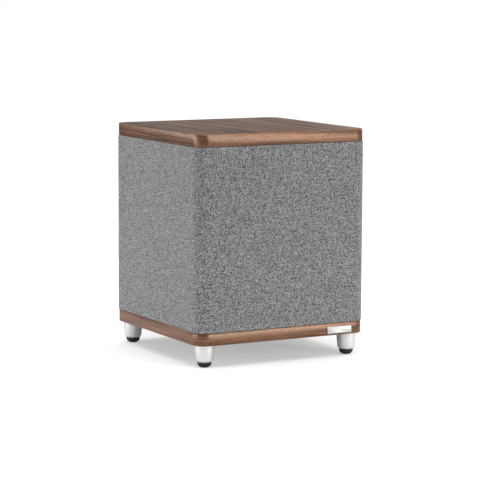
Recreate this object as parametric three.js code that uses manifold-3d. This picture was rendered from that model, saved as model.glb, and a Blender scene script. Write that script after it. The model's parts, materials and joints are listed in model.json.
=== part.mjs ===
// A compact down-firing subwoofer: a cloth-wrapped cabinet between two veneered boards, on four tapered
// metal feet, with an 8-inch driver beneath and a plate amplifier behind.
// Millimetres, +Z up. The front faces -Y, and z = 0 is the surface that the feet stand on.
import * as THREE from "three";
import { mergeVertices } from "three/addons/utils/BufferGeometryUtils.js";
import Module from "manifold-3d";

const wasm = await Module();
wasm.setup();

// ---------------------------------------------------------------- driving sizes

// Clearances
const touchGap = 0.3; // between pieces that rest on each other
const holeGap = 0.3; // all round a shank in its hole
const cutMargin = 1; // how far a cutter runs past the face it opens

// Cabinet
const boardWidth = 269;
const boardDepth = 266;
const boardThickness = 17.5;
const boardCorner = 17;
const boardChamfer = 0.8;
const cabinetHeight = 293; // both boards and what is between them
const wallThickness = 18;
const fabricThickness = 1.2;
const fabricProud = 1.1; // how far the cloth stands out from the boards' edges

// Badge: a blank plate on the front edge of the bottom board
const badgeWidth = 39.5;
const badgeHeight = 10.4;
const badgeThickness = 1.2;
const badgeCorner = 0.9;
const badgeFromSide = 23.3;
const badgeFromBottom = 2.8;

// Feet
const footHeight = 32;
const footInset = 19.4; // from both edges of the board to the foot's axis
const footTopRadius = 14.4;
const footLowRadius = 12.3;
const footTipRadius = 10.4;
const footTipChamfer = 2.5;
const footBodyLow = 7.8; // height of the metal's lowest face
const grooveFromTop = 4;
const grooveHeight = 0.6;
const grooveDepth = 0.45;
const padRadius = 10.1;
const padFlatRadius = 4.8;
const padPlugRadius = 7.5;
const padPlugHeight = 5.7;
const studRadius = 3;
const studInFoot = 12;
const woodOverStud = 3.5; // left above the stud's end

// Driver. Its heights are measured upwards from the underside of the bottom board.
const trimRecess = 0.4;
const trimThickness = 1.2;
const surroundThickness = 1;
const flangeThickness = 2.5;
const gasketThickness = 1.2;
const screwLand = 8.3; // flange outside the surround's landing
const rebateClearance = 1;
const basketInBoard = 1.2; // clearance round the basket in the board's cut-out
const rollRadius = 8; // of the middle of the half-roll
const rollCentre = 83;
const landingWidth = 6;
const lipWidth = 3.2;
const rimWidth = 4.6;
const coneThickness = 1;
const coneDepth = 31.8;
const coneTravel = 8; // each way
const capRadius = 32;
const capRise = 9.5;
const capThickness = 0.8;
const formerInside = 18.8;
const formerThickness = 0.5;
const windingThickness = 0.8;
const coilIntoGap = 1; // how far the winding's end is drawn into the magnetic gap at full travel
const formerPastWinding = 1;
const neckHeight = 3;
const spiderLevel = 46;
const spiderThickness = 1;
const spiderWaves = 3;
const spiderWaveHeight = 1.5;
const spiderCollar = 4.4;
const spiderLanding = 11;
const basketWall = 2.2;
const basketShelfThickness = 2.2;
const basketDepth = 64; // to the plate that carries the magnet
const basketPlateThickness = 1.5;
const basketHole = 24;
const basketNeckRadius = 52;
const basketShelfWidth = 13;
const spiderClearance = 1.5;
const windowCount = 8;
const windowWidth = 28;
const windowLow = 14;
const windowHigh = 38;
const terminalAngle = 135; // degrees round from +X
const terminalReach = 9;
const terminalWidth = 9;
const terminalHeight = 5;
const topPlateThickness = 8;
const topPlateRadius = 50;
const magnetThickness = 20;
const magnetRadius = 58;
const magnetHole = 28;
const yokeThickness = 8;
const yokeRadius = 52;
const poleGap = 0.6; // between the pole and the former
const coilGap = 0.8; // between the winding and the top plate
const poleVentRadius = 5;

// Pan-head screws for the driver and for the amplifier plate
const screwRadius = 1.75;
const screwHeadRadius = 3.4;
const screwHeadHeight = 2.2;
const screwCount = 4;
const woodOverScrew = 1.7; // left above the end of a driver screw's hole
const ampScrewInWood = 12;

// Amplifier. Its places are seen from behind, from the centre of the plate's outer face:
// x to the right, y up and z out of the cabinet.
const plateWidth = 150;
const edgeToSink = 9;
const sinkToControls = 25;
const controlsToInputs = 34;
const inputsToPower = 36;
const powerToEdge = 34;
const plateThickness = 2.5;
const plateCorner = 6;
const plateAboveMiddle = 3.5; // from halfway between the boards to the plate's centre
const plateOverCloth = 4;
const plateOverWood = 12;
const panelCutCorner = 4;
const gasketFromCut = 1;
const sinkFromSide = 20;
const sinkHeight = 62;
const sinkBase = 3;
const sinkDepth = 9;
const finCount = 11;
const finThickness = 2;
const crossoverX = 0;
const knobRadius = 9.5;
const knobLift = 0.8;
const knobHeight = 8.8;
const knobChamfer = 0.8;
const spindleRadius = 3;
const spindleInKnob = 5.2;
const spindleInPot = 8;
const potRadius = 8;
const phaseTravel = 4;
const sliderWidth = 4;
const sliderHeight = 3.6;
const sliderReach = 3;
const sliderInSwitch = 5.7;
const phaseBodyWidth = 20;
const phaseBodyHeight = 9;
const phaseBodyDepth = 8;
const ledFromCut = 6;
const ledToPhase = 15;
const ledRadius = 1.5;
const ledFlangeRadius = 2.4;
const ledReach = 1.9;
const inputPitch = 20;
const inputRadius = 4.15;
const inputReach = 9.5;
const inputFlangeRadius = 6;
const inputFlangeThickness = 1;
const inputBackRadius = 5.2;
const inputBackDepth = 12;
const inputHoleRadius = 1.6;
const switchX = -30;
const rockerHalfWidth = 6;
const rockerRadius = 9.2;
const rockerEnd = 3.6; // height of the rocker's ends over its pivot
const rockerMiddle = 2.2;
const rockerTilt = 8; // degrees each way
const rockerPivotDepth = 1;
const switchWall = 1.8;
const switchLip = 1.5;
const switchFlangeThickness = 1.6;
const switchDepth = 16;
const inletX = 28;
const inletCavityWidth = 24.4;
const inletCavityHeight = 16.6;
const inletCavityDepth = 15.8;
const inletCavityChamfer = 5;
const inletWall = 1.7;
const inletLip = 2.2;
const inletFlangeThickness = 2;
const inletFloor = 4.5;
const pinPitch = 7;
const pinThickness = 2;
const pinHeight = 4;
const pinLength = 12;
const pinDrop = 2;
const boardSetback = 16; // from the plate's inner face to the circuit board
const circuitFromCut = 6;
const circuitHeight = 94;
const circuitThickness = 1.6;
const circuitUnderControls = 18; // how far the circuit board reaches below the controls
const postRadius = 2.5;
const postInset = 6;

// Transformer, bolted to the inside of the left wall
const transformerRadius = 42;
const transformerHole = 13;
const transformerHeight = 36;
const transformerChamfer = 4;
const transformerY = 20;
const transformerFromTop = 67.5; // from the top board to its axis
const washerRadius = 18;
const washerThickness = 2;
const boltHeadRadius = 5.5;
const boltHeadHeight = 4;
const boltRadius = 3;
const boltInWall = 12;

// Wadding on the inside of the front wall, and the lead from the circuit board to the driver
const waddingThickness = 25;
const waddingSide = 20; // from the side walls
const waddingTop = 12;
const waddingHeight = 145;
const waddingCorner = 14;
const leadRadius = 1.5;

// Sides of a full turn
const driverSides = 24;
const footSides = 16;
const smallSides = 10;
const cornerSides = 8;

// ---------------------------------------------------------------- sizes that follow

const cabinetLow = footHeight;
const innerHeight = cabinetHeight - 2 * boardThickness;
const carcassWidth = boardWidth + 2 * (fabricProud - fabricThickness - touchGap);
const carcassDepth = boardDepth + 2 * (fabricProud - fabricThickness - touchGap);
const carcassCorner = boardCorner + fabricProud - fabricThickness - touchGap;
const carcassLow = boardThickness + touchGap; // above the underside of the bottom board
const carcassHigh = boardThickness + innerHeight - touchGap;
const topBoardLow = footHeight + cabinetHeight - boardThickness;
const transformerUp = topBoardLow - transformerFromTop;
const plateCentreHeight = footHeight + cabinetHeight / 2 + plateAboveMiddle;
const studInBoard = boardThickness - woodOverStud;
const footX = boardWidth / 2 - footInset;
const footY = boardDepth / 2 - footInset;

const landingLow = trimRecess + trimThickness + touchGap;
const landingHigh = landingLow + surroundThickness;
const flangeLow = landingHigh + touchGap;
const flangeHigh = flangeLow + flangeThickness;
const gasketLow = flangeHigh + touchGap;
const rebateDepth = gasketLow + gasketThickness + touchGap;
const rollOutside = rollRadius + surroundThickness / 2;
const rollInside = rollRadius - surroundThickness / 2;
const landingInside = rollCentre + rollOutside;
const landingOutside = landingInside + landingWidth;
const lipInside = rollCentre - rollOutside - lipWidth;
const flangeRadius = landingOutside + screwLand;
const rebateRadius = flangeRadius + rebateClearance;
const basketInside = landingInside + touchGap;
const boardCutRadius = basketInside + basketWall + basketInBoard;
const driverScrewInWood = boardThickness - rebateDepth - woodOverScrew - touchGap;
const driverScrewCircle = (landingOutside + flangeRadius) / 2;
const formerOutside = formerInside + formerThickness;
const windingOutside = formerOutside + touchGap + windingThickness;
const shelfLow = spiderLevel + spiderThickness + touchGap;
const shelfHigh = shelfLow + basketShelfThickness;
const topPlateLow = basketDepth + basketPlateThickness + touchGap;
const magnetLow = topPlateLow + topPlateThickness + touchGap;
const yokeLow = magnetLow + magnetThickness + touchGap;
const windingLength = topPlateThickness + 2 * (coneTravel - coilIntoGap);
const windingLow = topPlateLow + (topPlateThickness - windingLength) / 2;
const windingHigh = windingLow + windingLength;
const rimLow = landingHigh + touchGap;
const neckLow = rimLow + coneDepth;
const shelfOutside = basketNeckRadius + basketShelfWidth;
const spiderOutside = shelfOutside - spiderClearance;

const clothDepth = touchGap + fabricThickness; // from the carcass to the cloth's outer face
const plateStandoff = clothDepth + touchGap;
const plateFace = carcassDepth / 2 + plateStandoff + plateThickness;
const plateHeight =
  edgeToSink + sinkHeight + sinkToControls + controlsToInputs + inputsToPower + powerToEdge;
const panelCutWidth = plateWidth - 2 * plateOverWood;
const panelCutHeight = plateHeight - 2 * plateOverWood;
const sinkWidth = plateWidth - 2 * sinkFromSide;
const sinkY = plateHeight / 2 - edgeToSink - sinkHeight / 2;
const controlsY = sinkY - sinkHeight / 2 - sinkToControls;
const inputY = controlsY - controlsToInputs;
const powerY = inputY - inputsToPower;
const ledX = panelCutWidth / 2 - ledFromCut;
const phaseX = ledX - ledToPhase;
const levelX = -phaseX;
const circuitWidth = panelCutWidth - 2 * circuitFromCut;
const circuitY = controlsY - circuitUnderControls + circuitHeight / 2;
// The larger components on the board's inner side, each with its depth off the board.
const boardBlocks = [
  { width: 34, height: 24, x: -circuitWidth / 2 + 27, y: circuitY + 26, depth: 20 }, // mains filter
  { width: 16, height: 40, x: 2, y: circuitY + 16, depth: 12 }, // output stage
  { width: 22, height: 22, x: circuitWidth / 2 - 17, y: circuitY - 20, depth: 16 }, // relay
];
const boardCans = [
  { radius: 9, x: circuitWidth / 2 - 35, y: circuitY + 32, depth: 26 }, // reservoir capacitors
  { radius: 9, x: circuitWidth / 2 - 15, y: circuitY + 32, depth: 26 },
  { radius: 6, x: -circuitWidth / 2 + 13, y: circuitY - 12, depth: 14 }, // smaller capacitors
  { radius: 6, x: -circuitWidth / 2 + 29, y: circuitY - 12, depth: 14 },
];
const openingWidth = plateWidth - 2 * plateOverCloth;
const openingHeight = plateHeight - 2 * plateOverCloth;
const gasketInsideWidth = panelCutWidth + 2 * gasketFromCut;
const gasketInsideHeight = panelCutHeight + 2 * gasketFromCut;
const gasketOutsideWidth = openingWidth - 2 * touchGap;
const gasketOutsideHeight = openingHeight - 2 * touchGap;
const ampScrewX = (gasketInsideWidth + gasketOutsideWidth) / 4;
const ampScrewY = (gasketInsideHeight + gasketOutsideHeight) / 4;
const panelFaceZ = -plateThickness - plateStandoff;
const screwHole = screwRadius + holeGap;
const frontReach = boardDepth / 2 + Math.max(fabricProud, touchGap + badgeThickness);
const rearReach = plateFace + Math.max(touchGap + sinkDepth, knobLift + knobHeight);

// ---------------------------------------------------------------- solids

/** A three.js geometry as a solid that can be joined and cut. */
function solidOf(geometry) {
  const loose = geometry.index ? geometry.toNonIndexed() : geometry;
  const bare = new THREE.BufferGeometry();
  bare.setAttribute("position", loose.getAttribute("position"));
  const merged = mergeVertices(bare, 1e-4);
  return new wasm.Manifold(
    new wasm.Mesh({
      numProp: 3,
      vertProperties: merged.attributes.position.array,
      triVerts: new Uint32Array(merged.index.array),
    }),
  );
}

/** A solid as a three.js geometry. */
function geometryOf(solid) {
  const { vertProperties, triVerts } = solid.getMesh();
  const geometry = new THREE.BufferGeometry();
  geometry.setAttribute("position", new THREE.BufferAttribute(vertProperties, 3));
  geometry.setIndex(new THREE.BufferAttribute(triVerts, 1));
  geometry.computeVertexNormals();
  return geometry;
}

/** A block between two corners. */
function block([x0, y0, z0], [x1, y1, z1]) {
  const box = new THREE.BoxGeometry(x1 - x0, y1 - y0, z1 - z0);
  return solidOf(box.translate((x0 + x1) / 2, (y0 + y1) / 2, (z0 + z1) / 2));
}

/** An outline in X and Y, drawn upwards from one height to another, with chamfered ends if asked. */
function prism(outline, low, high, chamfer = 0) {
  const geometry = new THREE.ExtrudeGeometry(outline, {
    depth: high - low - 2 * chamfer,
    bevelEnabled: chamfer > 0,
    bevelThickness: chamfer,
    bevelSize: chamfer,
    bevelOffset: -chamfer,
    bevelSegments: 1,
    curveSegments: cornerSides / 2,
  });
  return solidOf(geometry.translate(0, 0, low + chamfer));
}

/** A rectangle with round corners, centred on a point. */
function roundedRectangle(width, height, radius, x = 0, y = 0) {
  const right = x + width / 2 - radius;
  const left = x - width / 2 + radius;
  const top = y + height / 2 - radius;
  const bottom = y - height / 2 + radius;
  const outline = new THREE.Shape();
  outline.absarc(right, top, radius, 0, Math.PI / 2);
  outline.absarc(left, top, radius, Math.PI / 2, Math.PI);
  outline.absarc(left, bottom, radius, Math.PI, 1.5 * Math.PI);
  outline.absarc(right, bottom, radius, 1.5 * Math.PI, 2 * Math.PI);
  return outline;
}

/** A straight-sided outline through points. */
function polygon(points) {
  return new THREE.Shape(points.map(([x, y]) => new THREE.Vector2(x, y)));
}

/** A profile of radius and height turned about Z. It starts and ends on the axis, or closes on itself. */
function turned(profile, sides = driverSides) {
  const area = profile.reduce((sum, [r, z], i) => {
    const [nextR, nextZ] = profile[(i + 1) % profile.length];
    return sum + r * nextZ - nextR * z;
  }, 0);
  const upward = area > 0 ? profile : [...profile].reverse();
  const closed = upward[0][0] > 0 ? [...upward, upward[0]] : upward;
  const points = closed.map(([r, z]) => new THREE.Vector2(r, z));
  return solidOf(new THREE.LatheGeometry(points, sides).rotateX(Math.PI / 2));
}

/** A round bar on a vertical axis. */
function bar(radius, low, high, x = 0, y = 0, sides = smallSides) {
  const cylinder = new THREE.CylinderGeometry(radius, radius, high - low, sides);
  return solidOf(cylinder.rotateX(Math.PI / 2).translate(x, y, (low + high) / 2));
}

/** A flat ring. */
function ring(inside, outside, low, high, sides = driverSides) {
  return turned(
    [
      [inside, low],
      [outside, low],
      [outside, high],
      [inside, high],
    ],
    sides,
  );
}

/** Points along an arc of radius and height, from one angle to another, in degrees. */
function arc(centreR, centreZ, radiusR, radiusZ, from, to, steps) {
  return Array.from({ length: steps + 1 }, (_, i) => {
    const angle = THREE.MathUtils.degToRad(from + ((to - from) * i) / steps);
    const r = centreR + radiusR * Math.cos(angle);
    return [Math.abs(r) < 1e-6 ? 0 : r, centreZ + radiusZ * Math.sin(angle)];
  });
}

/** The solids joined into one. */
function joined(solids) {
  return solids.reduce((whole, next) => whole.add(next));
}

/** A solid less all the others. */
function cut(solid, cutters) {
  return cutters.reduce((rest, cutter) => rest.subtract(cutter), solid);
}

/** Places spaced evenly round a circle, half a step on from +X. */
function around(count, radius) {
  return Array.from({ length: count }, (_, i) => {
    const angle = (2 * Math.PI * (i + 0.5)) / count;
    return [radius * Math.cos(angle), radius * Math.sin(angle)];
  });
}

// ---------------------------------------------------------------- finishes

const finishes = {
  walnut: { color: 0x8a5f47, roughness: 0.5, metalness: 0 },
  fibreboard: { color: 0x9c7a55, roughness: 0.85, metalness: 0 },
  cloth: { color: 0x7d7d7d, roughness: 0.95, metalness: 0 },
  satinMetal: { color: 0xd2d1cd, roughness: 0.35, metalness: 1 },
  steel: { color: 0x8e8f91, roughness: 0.4, metalness: 1 },
  blackSteel: { color: 0x1b1b1c, roughness: 0.5, metalness: 0.6 },
  blackPaint: { color: 0x161617, roughness: 0.6, metalness: 0.3 },
  rubber: { color: 0x151515, roughness: 0.8, metalness: 0 },
  foam: { color: 0x232323, roughness: 0.95, metalness: 0 },
  paper: { color: 0x1e1e1f, roughness: 0.85, metalness: 0 },
  blackPlastic: { color: 0x18181a, roughness: 0.5, metalness: 0 },
  ferrite: { color: 0x2c2c2e, roughness: 0.75, metalness: 0.1 },
  copper: { color: 0xb06a3a, roughness: 0.4, metalness: 1 },
  aluminium: { color: 0xa7a9ac, roughness: 0.4, metalness: 1 },
  amberCloth: { color: 0xa98a4b, roughness: 0.9, metalness: 0 },
  circuit: { color: 0x24523a, roughness: 0.5, metalness: 0 },
  wadding: { color: 0xe8e6e0, roughness: 1, metalness: 0 },
  gold: { color: 0xc8a04a, roughness: 0.3, metalness: 1 },
  clearGreen: { color: 0x9ed8a0, roughness: 0.2, metalness: 0 },
  tapeYellow: { color: 0xc9a93c, roughness: 0.6, metalness: 0 },
};

/** Adds a named piece of one solid to a group, and returns its mesh. */
function piece(group, name, solid, finish) {
  const material = new THREE.MeshStandardMaterial(finishes[finish]);
  const mesh = new THREE.Mesh(geometryOf(solid), material);
  mesh.name = name;
  group.add(mesh);
  return mesh;
}

// ---------------------------------------------------------------- cabinet

/** Where the four feet stand, by name. */
const footPlaces = [
  ["front_left", -footX, -footY],
  ["front_right", footX, -footY],
  ["back_left", -footX, footY],
  ["back_right", footX, footY],
];

/** A pan-head screw whose head rests on z = 0 and whose shank runs down. */
function panScrew(length) {
  return turned(
    [
      [0, -length],
      [screwRadius * 0.4, -length],
      [screwRadius, -length + screwRadius],
      [screwRadius, 0],
      [screwHeadRadius, 0],
      [screwHeadRadius, screwHeadHeight * 0.4],
      [screwHeadRadius * 0.6, screwHeadHeight],
      [0, screwHeadHeight],
    ],
    smallSides,
  );
}

function bottomBoard() {
  const outline = roundedRectangle(boardWidth, boardDepth, boardCorner);
  const studHole = studRadius + holeGap;
  const pilotHigh = rebateDepth + driverScrewInWood + touchGap;
  return cut(prism(outline, 0, boardThickness, boardChamfer), [
    bar(rebateRadius, -cutMargin, rebateDepth, 0, 0, driverSides),
    bar(boardCutRadius, -cutMargin, boardThickness + cutMargin, 0, 0, driverSides),
    ...footPlaces.map(([, x, y]) => bar(studHole, -cutMargin, studInBoard + touchGap, x, y)),
    ...around(screwCount, driverScrewCircle).map(([x, y]) => bar(screwHole, 0, pilotHigh, x, y)),
  ]);
}

/** The four walls are slabs of one round-cornered block: front and rear full width, sides between them. */
function wall([x0, y0], [x1, y1]) {
  const outline = roundedRectangle(carcassWidth, carcassDepth, carcassCorner);
  const slab = block([x0, y0, carcassLow - cutMargin], [x1, y1, carcassHigh + cutMargin]);
  return prism(outline, carcassLow, carcassHigh).intersect(slab);
}

/** Turns an amplifier outline, drawn from behind, into a cutter that runs along Y between two depths. */
function rearCutter(solid) {
  const place = new THREE.Matrix4().makeRotationFromEuler(new THREE.Euler(Math.PI / 2, Math.PI, 0));
  place.setPosition(0, plateFace, plateCentreHeight - cabinetLow);
  return solidOf(geometryOf(solid).applyMatrix4(place));
}

function rearWall() {
  const inner = carcassDepth / 2 - wallThickness;
  const slab = wall([-boardWidth, inner], [boardWidth, boardDepth]);
  const opening = roundedRectangle(panelCutWidth, panelCutHeight, panelCutCorner);
  const through = prism(opening, panelFaceZ - wallThickness - cutMargin, panelFaceZ + cutMargin);
  const pilots = [-1, 1].flatMap((side) =>
    [-1, 1].map((end) =>
      bar(
        screwHole,
        panelFaceZ - ampScrewInWood - touchGap,
        panelFaceZ + cutMargin,
        side * ampScrewX,
        end * ampScrewY,
      ),
    ),
  );
  return cut(slab, [through, ...pilots].map(rearCutter));
}

function sideWall(side) {
  const outer = boardWidth;
  const inner = carcassWidth / 2 - wallThickness;
  const end = carcassDepth / 2 - wallThickness - touchGap;
  const [x0, x1] = side < 0 ? [-outer, -inner] : [inner, outer];
  return wall([x0, -end], [x1, end]);
}

/** A cross-wise bar for the transformer's bolt, from the inner face of the left wall into the wood. */
function boltHole() {
  const deep = bar(boltRadius + holeGap, -boltInWall - touchGap, cutMargin);
  const place = new THREE.Matrix4().makeRotationY(Math.PI / 2);
  place.setPosition(-carcassWidth / 2 + wallThickness, transformerY, transformerUp - cabinetLow);
  return solidOf(geometryOf(deep).applyMatrix4(place));
}

function clothWrap() {
  const outline = (inset) =>
    roundedRectangle(
      boardWidth + 2 * (fabricProud - inset),
      boardDepth + 2 * (fabricProud - inset),
      boardCorner + fabricProud - inset,
    );
  const inside = prism(outline(fabricThickness), carcassLow - cutMargin, carcassHigh + cutMargin);
  const hole = roundedRectangle(openingWidth, openingHeight, plateCorner - plateOverCloth);
  const through = rearCutter(prism(hole, panelFaceZ - cutMargin, cutMargin));
  return cut(prism(outline(0), carcassLow, carcassHigh), [inside, through]);
}

function wadding() {
  const width = carcassWidth - 2 * (wallThickness + waddingSide);
  const outline = roundedRectangle(width, waddingHeight, waddingCorner);
  return prism(outline, 0, waddingThickness);
}

function cabinet() {
  const group = new THREE.Group();
  const boardOutline = roundedRectangle(boardWidth, boardDepth, boardCorner);
  const frontInner = -carcassDepth / 2 + wallThickness;
  const topBoard = prism(boardOutline, 0, boardThickness, boardChamfer);
  piece(group, "bottom_board", bottomBoard(), "walnut");
  piece(group, "top_board", topBoard, "walnut").position.z = cabinetHeight - boardThickness;
  piece(group, "front_panel", wall([-boardWidth, -boardDepth], [boardWidth, frontInner]), "fibreboard");
  piece(group, "rear_panel", rearWall(), "fibreboard");
  piece(group, "left_panel", cut(sideWall(-1), [boltHole()]), "fibreboard");
  piece(group, "right_panel", sideWall(1), "fibreboard");
  piece(group, "fabric_wrap", clothWrap(), "cloth");

  const badge = prism(roundedRectangle(badgeWidth, badgeHeight, badgeCorner), 0, badgeThickness);
  const badgeMesh = piece(group, "badge_plate", badge, "satinMetal");
  badgeMesh.rotation.x = Math.PI / 2;
  badgeMesh.position.set(
    boardWidth / 2 - badgeFromSide - badgeWidth / 2,
    -boardDepth / 2 - touchGap,
    badgeFromBottom + badgeHeight / 2,
  );

  const pad = piece(group, "damping_wadding", wadding(), "wadding");
  pad.rotation.x = Math.PI / 2;
  pad.position.set(
    0,
    frontInner + touchGap + waddingThickness,
    carcassHigh - waddingTop - waddingHeight / 2,
  );
  group.position.z = cabinetLow;
  return group;
}

// ---------------------------------------------------------------- feet

function footBody() {
  const top = footHeight - touchGap;
  const grooveHigh = top - grooveFromTop;
  const pocketHigh = footBodyLow + padPlugHeight + touchGap;
  const studHole = studRadius + holeGap;
  const taperLow = footBodyLow + footTipChamfer;
  const grooveRadius =
    footLowRadius + ((footTopRadius - footLowRadius) * (grooveHigh - taperLow)) / (top - taperLow);
  return turned(
    [
      [0, pocketHigh],
      [padPlugRadius + holeGap, pocketHigh],
      [padPlugRadius + holeGap, footBodyLow],
      [footTipRadius, footBodyLow],
      [footLowRadius, taperLow],
      [grooveRadius, grooveHigh - grooveHeight],
      [grooveRadius - grooveDepth, grooveHigh - grooveHeight / 2],
      [grooveRadius, grooveHigh],
      [footTopRadius, top],
      [studHole, top],
      [studHole, top - studInFoot - touchGap],
      [0, top - studInFoot - touchGap],
    ],
    footSides,
  );
}

function footPad() {
  const seat = footBodyLow - touchGap;
  const side = 1; // straight side under the metal, before the dome
  const dome = arc(padFlatRadius, seat - side, padRadius - padFlatRadius, seat - side, 0, -90, 4);
  return turned(
    [
      [0, footBodyLow + padPlugHeight],
      [padPlugRadius, footBodyLow + padPlugHeight],
      [padPlugRadius, seat],
      [padRadius, seat],
      ...dome,
      [0, 0],
    ],
    footSides,
  );
}

function footStud() {
  const low = footHeight - touchGap - studInFoot;
  const high = footHeight + studInBoard;
  const chamfer = 0.6;
  return turned(
    [
      [0, low],
      [studRadius - chamfer, low],
      [studRadius, low + chamfer],
      [studRadius, high - chamfer],
      [studRadius - chamfer, high],
      [0, high],
    ],
    smallSides,
  );
}

function feet() {
  const group = new THREE.Group();
  for (const [name, x, y] of footPlaces) {
    const foot = new THREE.Group();
    piece(foot, `foot_body_${name}`, footBody(), "satinMetal");
    piece(foot, `foot_pad_${name}`, footPad(), "rubber");
    piece(foot, `foot_bolt_${name}`, footStud(), "steel");
    foot.position.set(x, y, 0);
    group.add(foot);
  }
  return group;
}

// ---------------------------------------------------------------- driver

function basket() {
  const frame = turned([
    [basketInside, flangeLow],
    [flangeRadius, flangeLow],
    [flangeRadius, flangeHigh],
    [basketInside + basketWall, flangeHigh],
    [shelfOutside + basketWall, shelfHigh],
    [basketNeckRadius + 1, shelfHigh],
    [basketNeckRadius, topPlateLow - touchGap],
    [basketHole, topPlateLow - touchGap],
    [basketHole, basketDepth],
    [basketNeckRadius - basketWall, basketDepth],
    [basketNeckRadius + 1 - basketWall, shelfLow],
    [shelfOutside, shelfLow],
    [basketInside, flangeHigh],
  ]);
  const window = block(
    [basketNeckRadius + 6, -windowWidth / 2, windowLow],
    [flangeRadius, windowWidth / 2, windowHigh],
  );
  const windows = Array.from({ length: windowCount }, (_, i) =>
    window.rotate([0, 0, (360 * i) / windowCount]),
  );
  const tab = block(
    [shelfOutside + basketWall / 2, -terminalWidth / 2, shelfHigh - terminalHeight],
    [shelfOutside + basketWall + terminalReach, terminalWidth / 2, shelfHigh],
  ).rotate([0, 0, terminalAngle]);
  const holes = around(screwCount, driverScrewCircle).map(([x, y]) =>
    bar(screwHole, flangeLow - cutMargin, flangeHigh + cutMargin, x, y),
  );
  return cut(frame, [...windows, ...holes]).add(tab);
}

function driverGasket() {
  const flat = ring(boardCutRadius + 0.5, flangeRadius, gasketLow, gasketLow + gasketThickness);
  const holes = around(screwCount, driverScrewCircle).map(([x, y]) =>
    bar(screwHole, gasketLow - cutMargin, gasketLow + gasketThickness + cutMargin, x, y),
  );
  return cut(flat, holes);
}

function surround() {
  return turned([
    [landingOutside, landingHigh],
    [landingOutside, landingLow],
    ...arc(rollCentre, landingLow, rollOutside, rollOutside, 0, -180, 6),
    [lipInside, landingLow],
    [lipInside, landingHigh],
    [rollCentre - rollInside, landingHigh],
    ...arc(rollCentre, landingLow, rollInside, rollInside, -180, 0, 6),
    [rollCentre + rollInside, landingHigh],
  ]);
}

const neckInside = formerOutside + touchGap;
const rimInside = lipInside - 0.4;

/** Height of the cone's lower face at a radius. */
function coneFaceAt(radius) {
  return rimLow + (coneDepth * (rimInside - radius)) / (rimInside - neckInside);
}

function cone() {
  return turned([
    [lipInside + rimWidth, rimLow],
    [lipInside + rimWidth, rimLow + coneThickness],
    [rimInside + coneThickness / 2, rimLow + coneThickness],
    [neckInside + coneThickness, neckLow + coneThickness],
    [neckInside + coneThickness, neckLow + neckHeight],
    [neckInside, neckLow + neckHeight],
    [neckInside, neckLow],
    [rimInside, rimLow],
  ]);
}

/** A shell between two spheres of one centre. */
function dustCap() {
  const edge = coneFaceAt(capRadius) - 1.5 * touchGap;
  const outside = (capRadius ** 2 + capRise ** 2) / (2 * capRise);
  const inside = outside - capThickness;
  const centre = edge - capRise + outside;
  const steps = 5;
  const outerTurn = THREE.MathUtils.radToDeg(Math.asin(capRadius / outside));
  const innerTurn = THREE.MathUtils.radToDeg(Math.acos((outside - capRise) / inside));
  return turned([
    ...arc(0, centre, outside, outside, -90, outerTurn - 90, steps),
    ...arc(0, centre, inside, inside, innerTurn - 90, -90, steps),
  ]);
}

function spider() {
  const start = neckInside + spiderCollar;
  const end = spiderOutside - spiderLanding;
  const middle = spiderLevel - touchGap;
  const crests = Array.from({ length: 2 * spiderWaves }, (_, i) => [
    start + ((end - start) * (i + 0.5)) / (2 * spiderWaves),
    i % 2 ? -spiderWaveHeight : spiderWaveHeight,
  ]);
  const under = [
    [neckInside, middle],
    [start, middle],
    ...crests.map(([r, rise]) => [r, middle + rise]),
    [end, middle],
    [spiderOutside, middle],
  ];
  const over = under.map(([r, z]) => [r, z + spiderThickness]).reverse();
  return turned([...under, ...over]);
}

function poleYoke() {
  const poleRadius = formerInside - poleGap;
  return turned([
    [poleVentRadius, topPlateLow],
    [poleRadius, topPlateLow],
    [poleRadius, yokeLow],
    [yokeRadius, yokeLow],
    [yokeRadius, yokeLow + yokeThickness - 2],
    [yokeRadius - 2, yokeLow + yokeThickness],
    [poleVentRadius, yokeLow + yokeThickness],
  ]);
}

function driver() {
  const group = new THREE.Group();
  const topPlate = ring(windingOutside + coilGap, topPlateRadius, topPlateLow, magnetLow - touchGap);
  piece(group, "driver_gasket", driverGasket(), "foam");
  piece(group, "driver_basket", basket(), "blackSteel");
  piece(group, "surround", surround(), "rubber");
  piece(
    group,
    "trim_ring",
    ring(landingInside + touchGap, landingOutside, trimRecess, trimRecess + trimThickness),
    "blackPlastic",
  );
  piece(group, "cone", cone(), "paper");
  piece(group, "dust_cap", dustCap(), "paper");
  piece(group, "spider", spider(), "amberCloth");
  piece(
    group,
    "coil_former",
    ring(formerInside, formerOutside, neckLow - 1, windingHigh + formerPastWinding),
    "aluminium",
  );
  piece(
    group,
    "coil_winding",
    ring(formerOutside + touchGap, windingOutside, windingLow, windingHigh),
    "copper",
  );
  piece(group, "top_plate", topPlate, "steel");
  piece(group, "magnet", ring(magnetHole, magnetRadius, magnetLow, yokeLow - touchGap), "ferrite");
  piece(group, "pole_yoke", poleYoke(), "steel");
  const shank = rebateDepth - flangeLow + driverScrewInWood + touchGap;
  around(screwCount, driverScrewCircle).forEach(([x, y], i) => {
    const screw = piece(group, `driver_screw_${i + 1}`, panScrew(shank), "blackSteel");
    screw.rotation.x = Math.PI;
    screw.position.set(x, y, flangeLow - touchGap);
  });
  group.position.z = cabinetLow;
  return group;
}

// ---------------------------------------------------------------- amplifier

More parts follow.
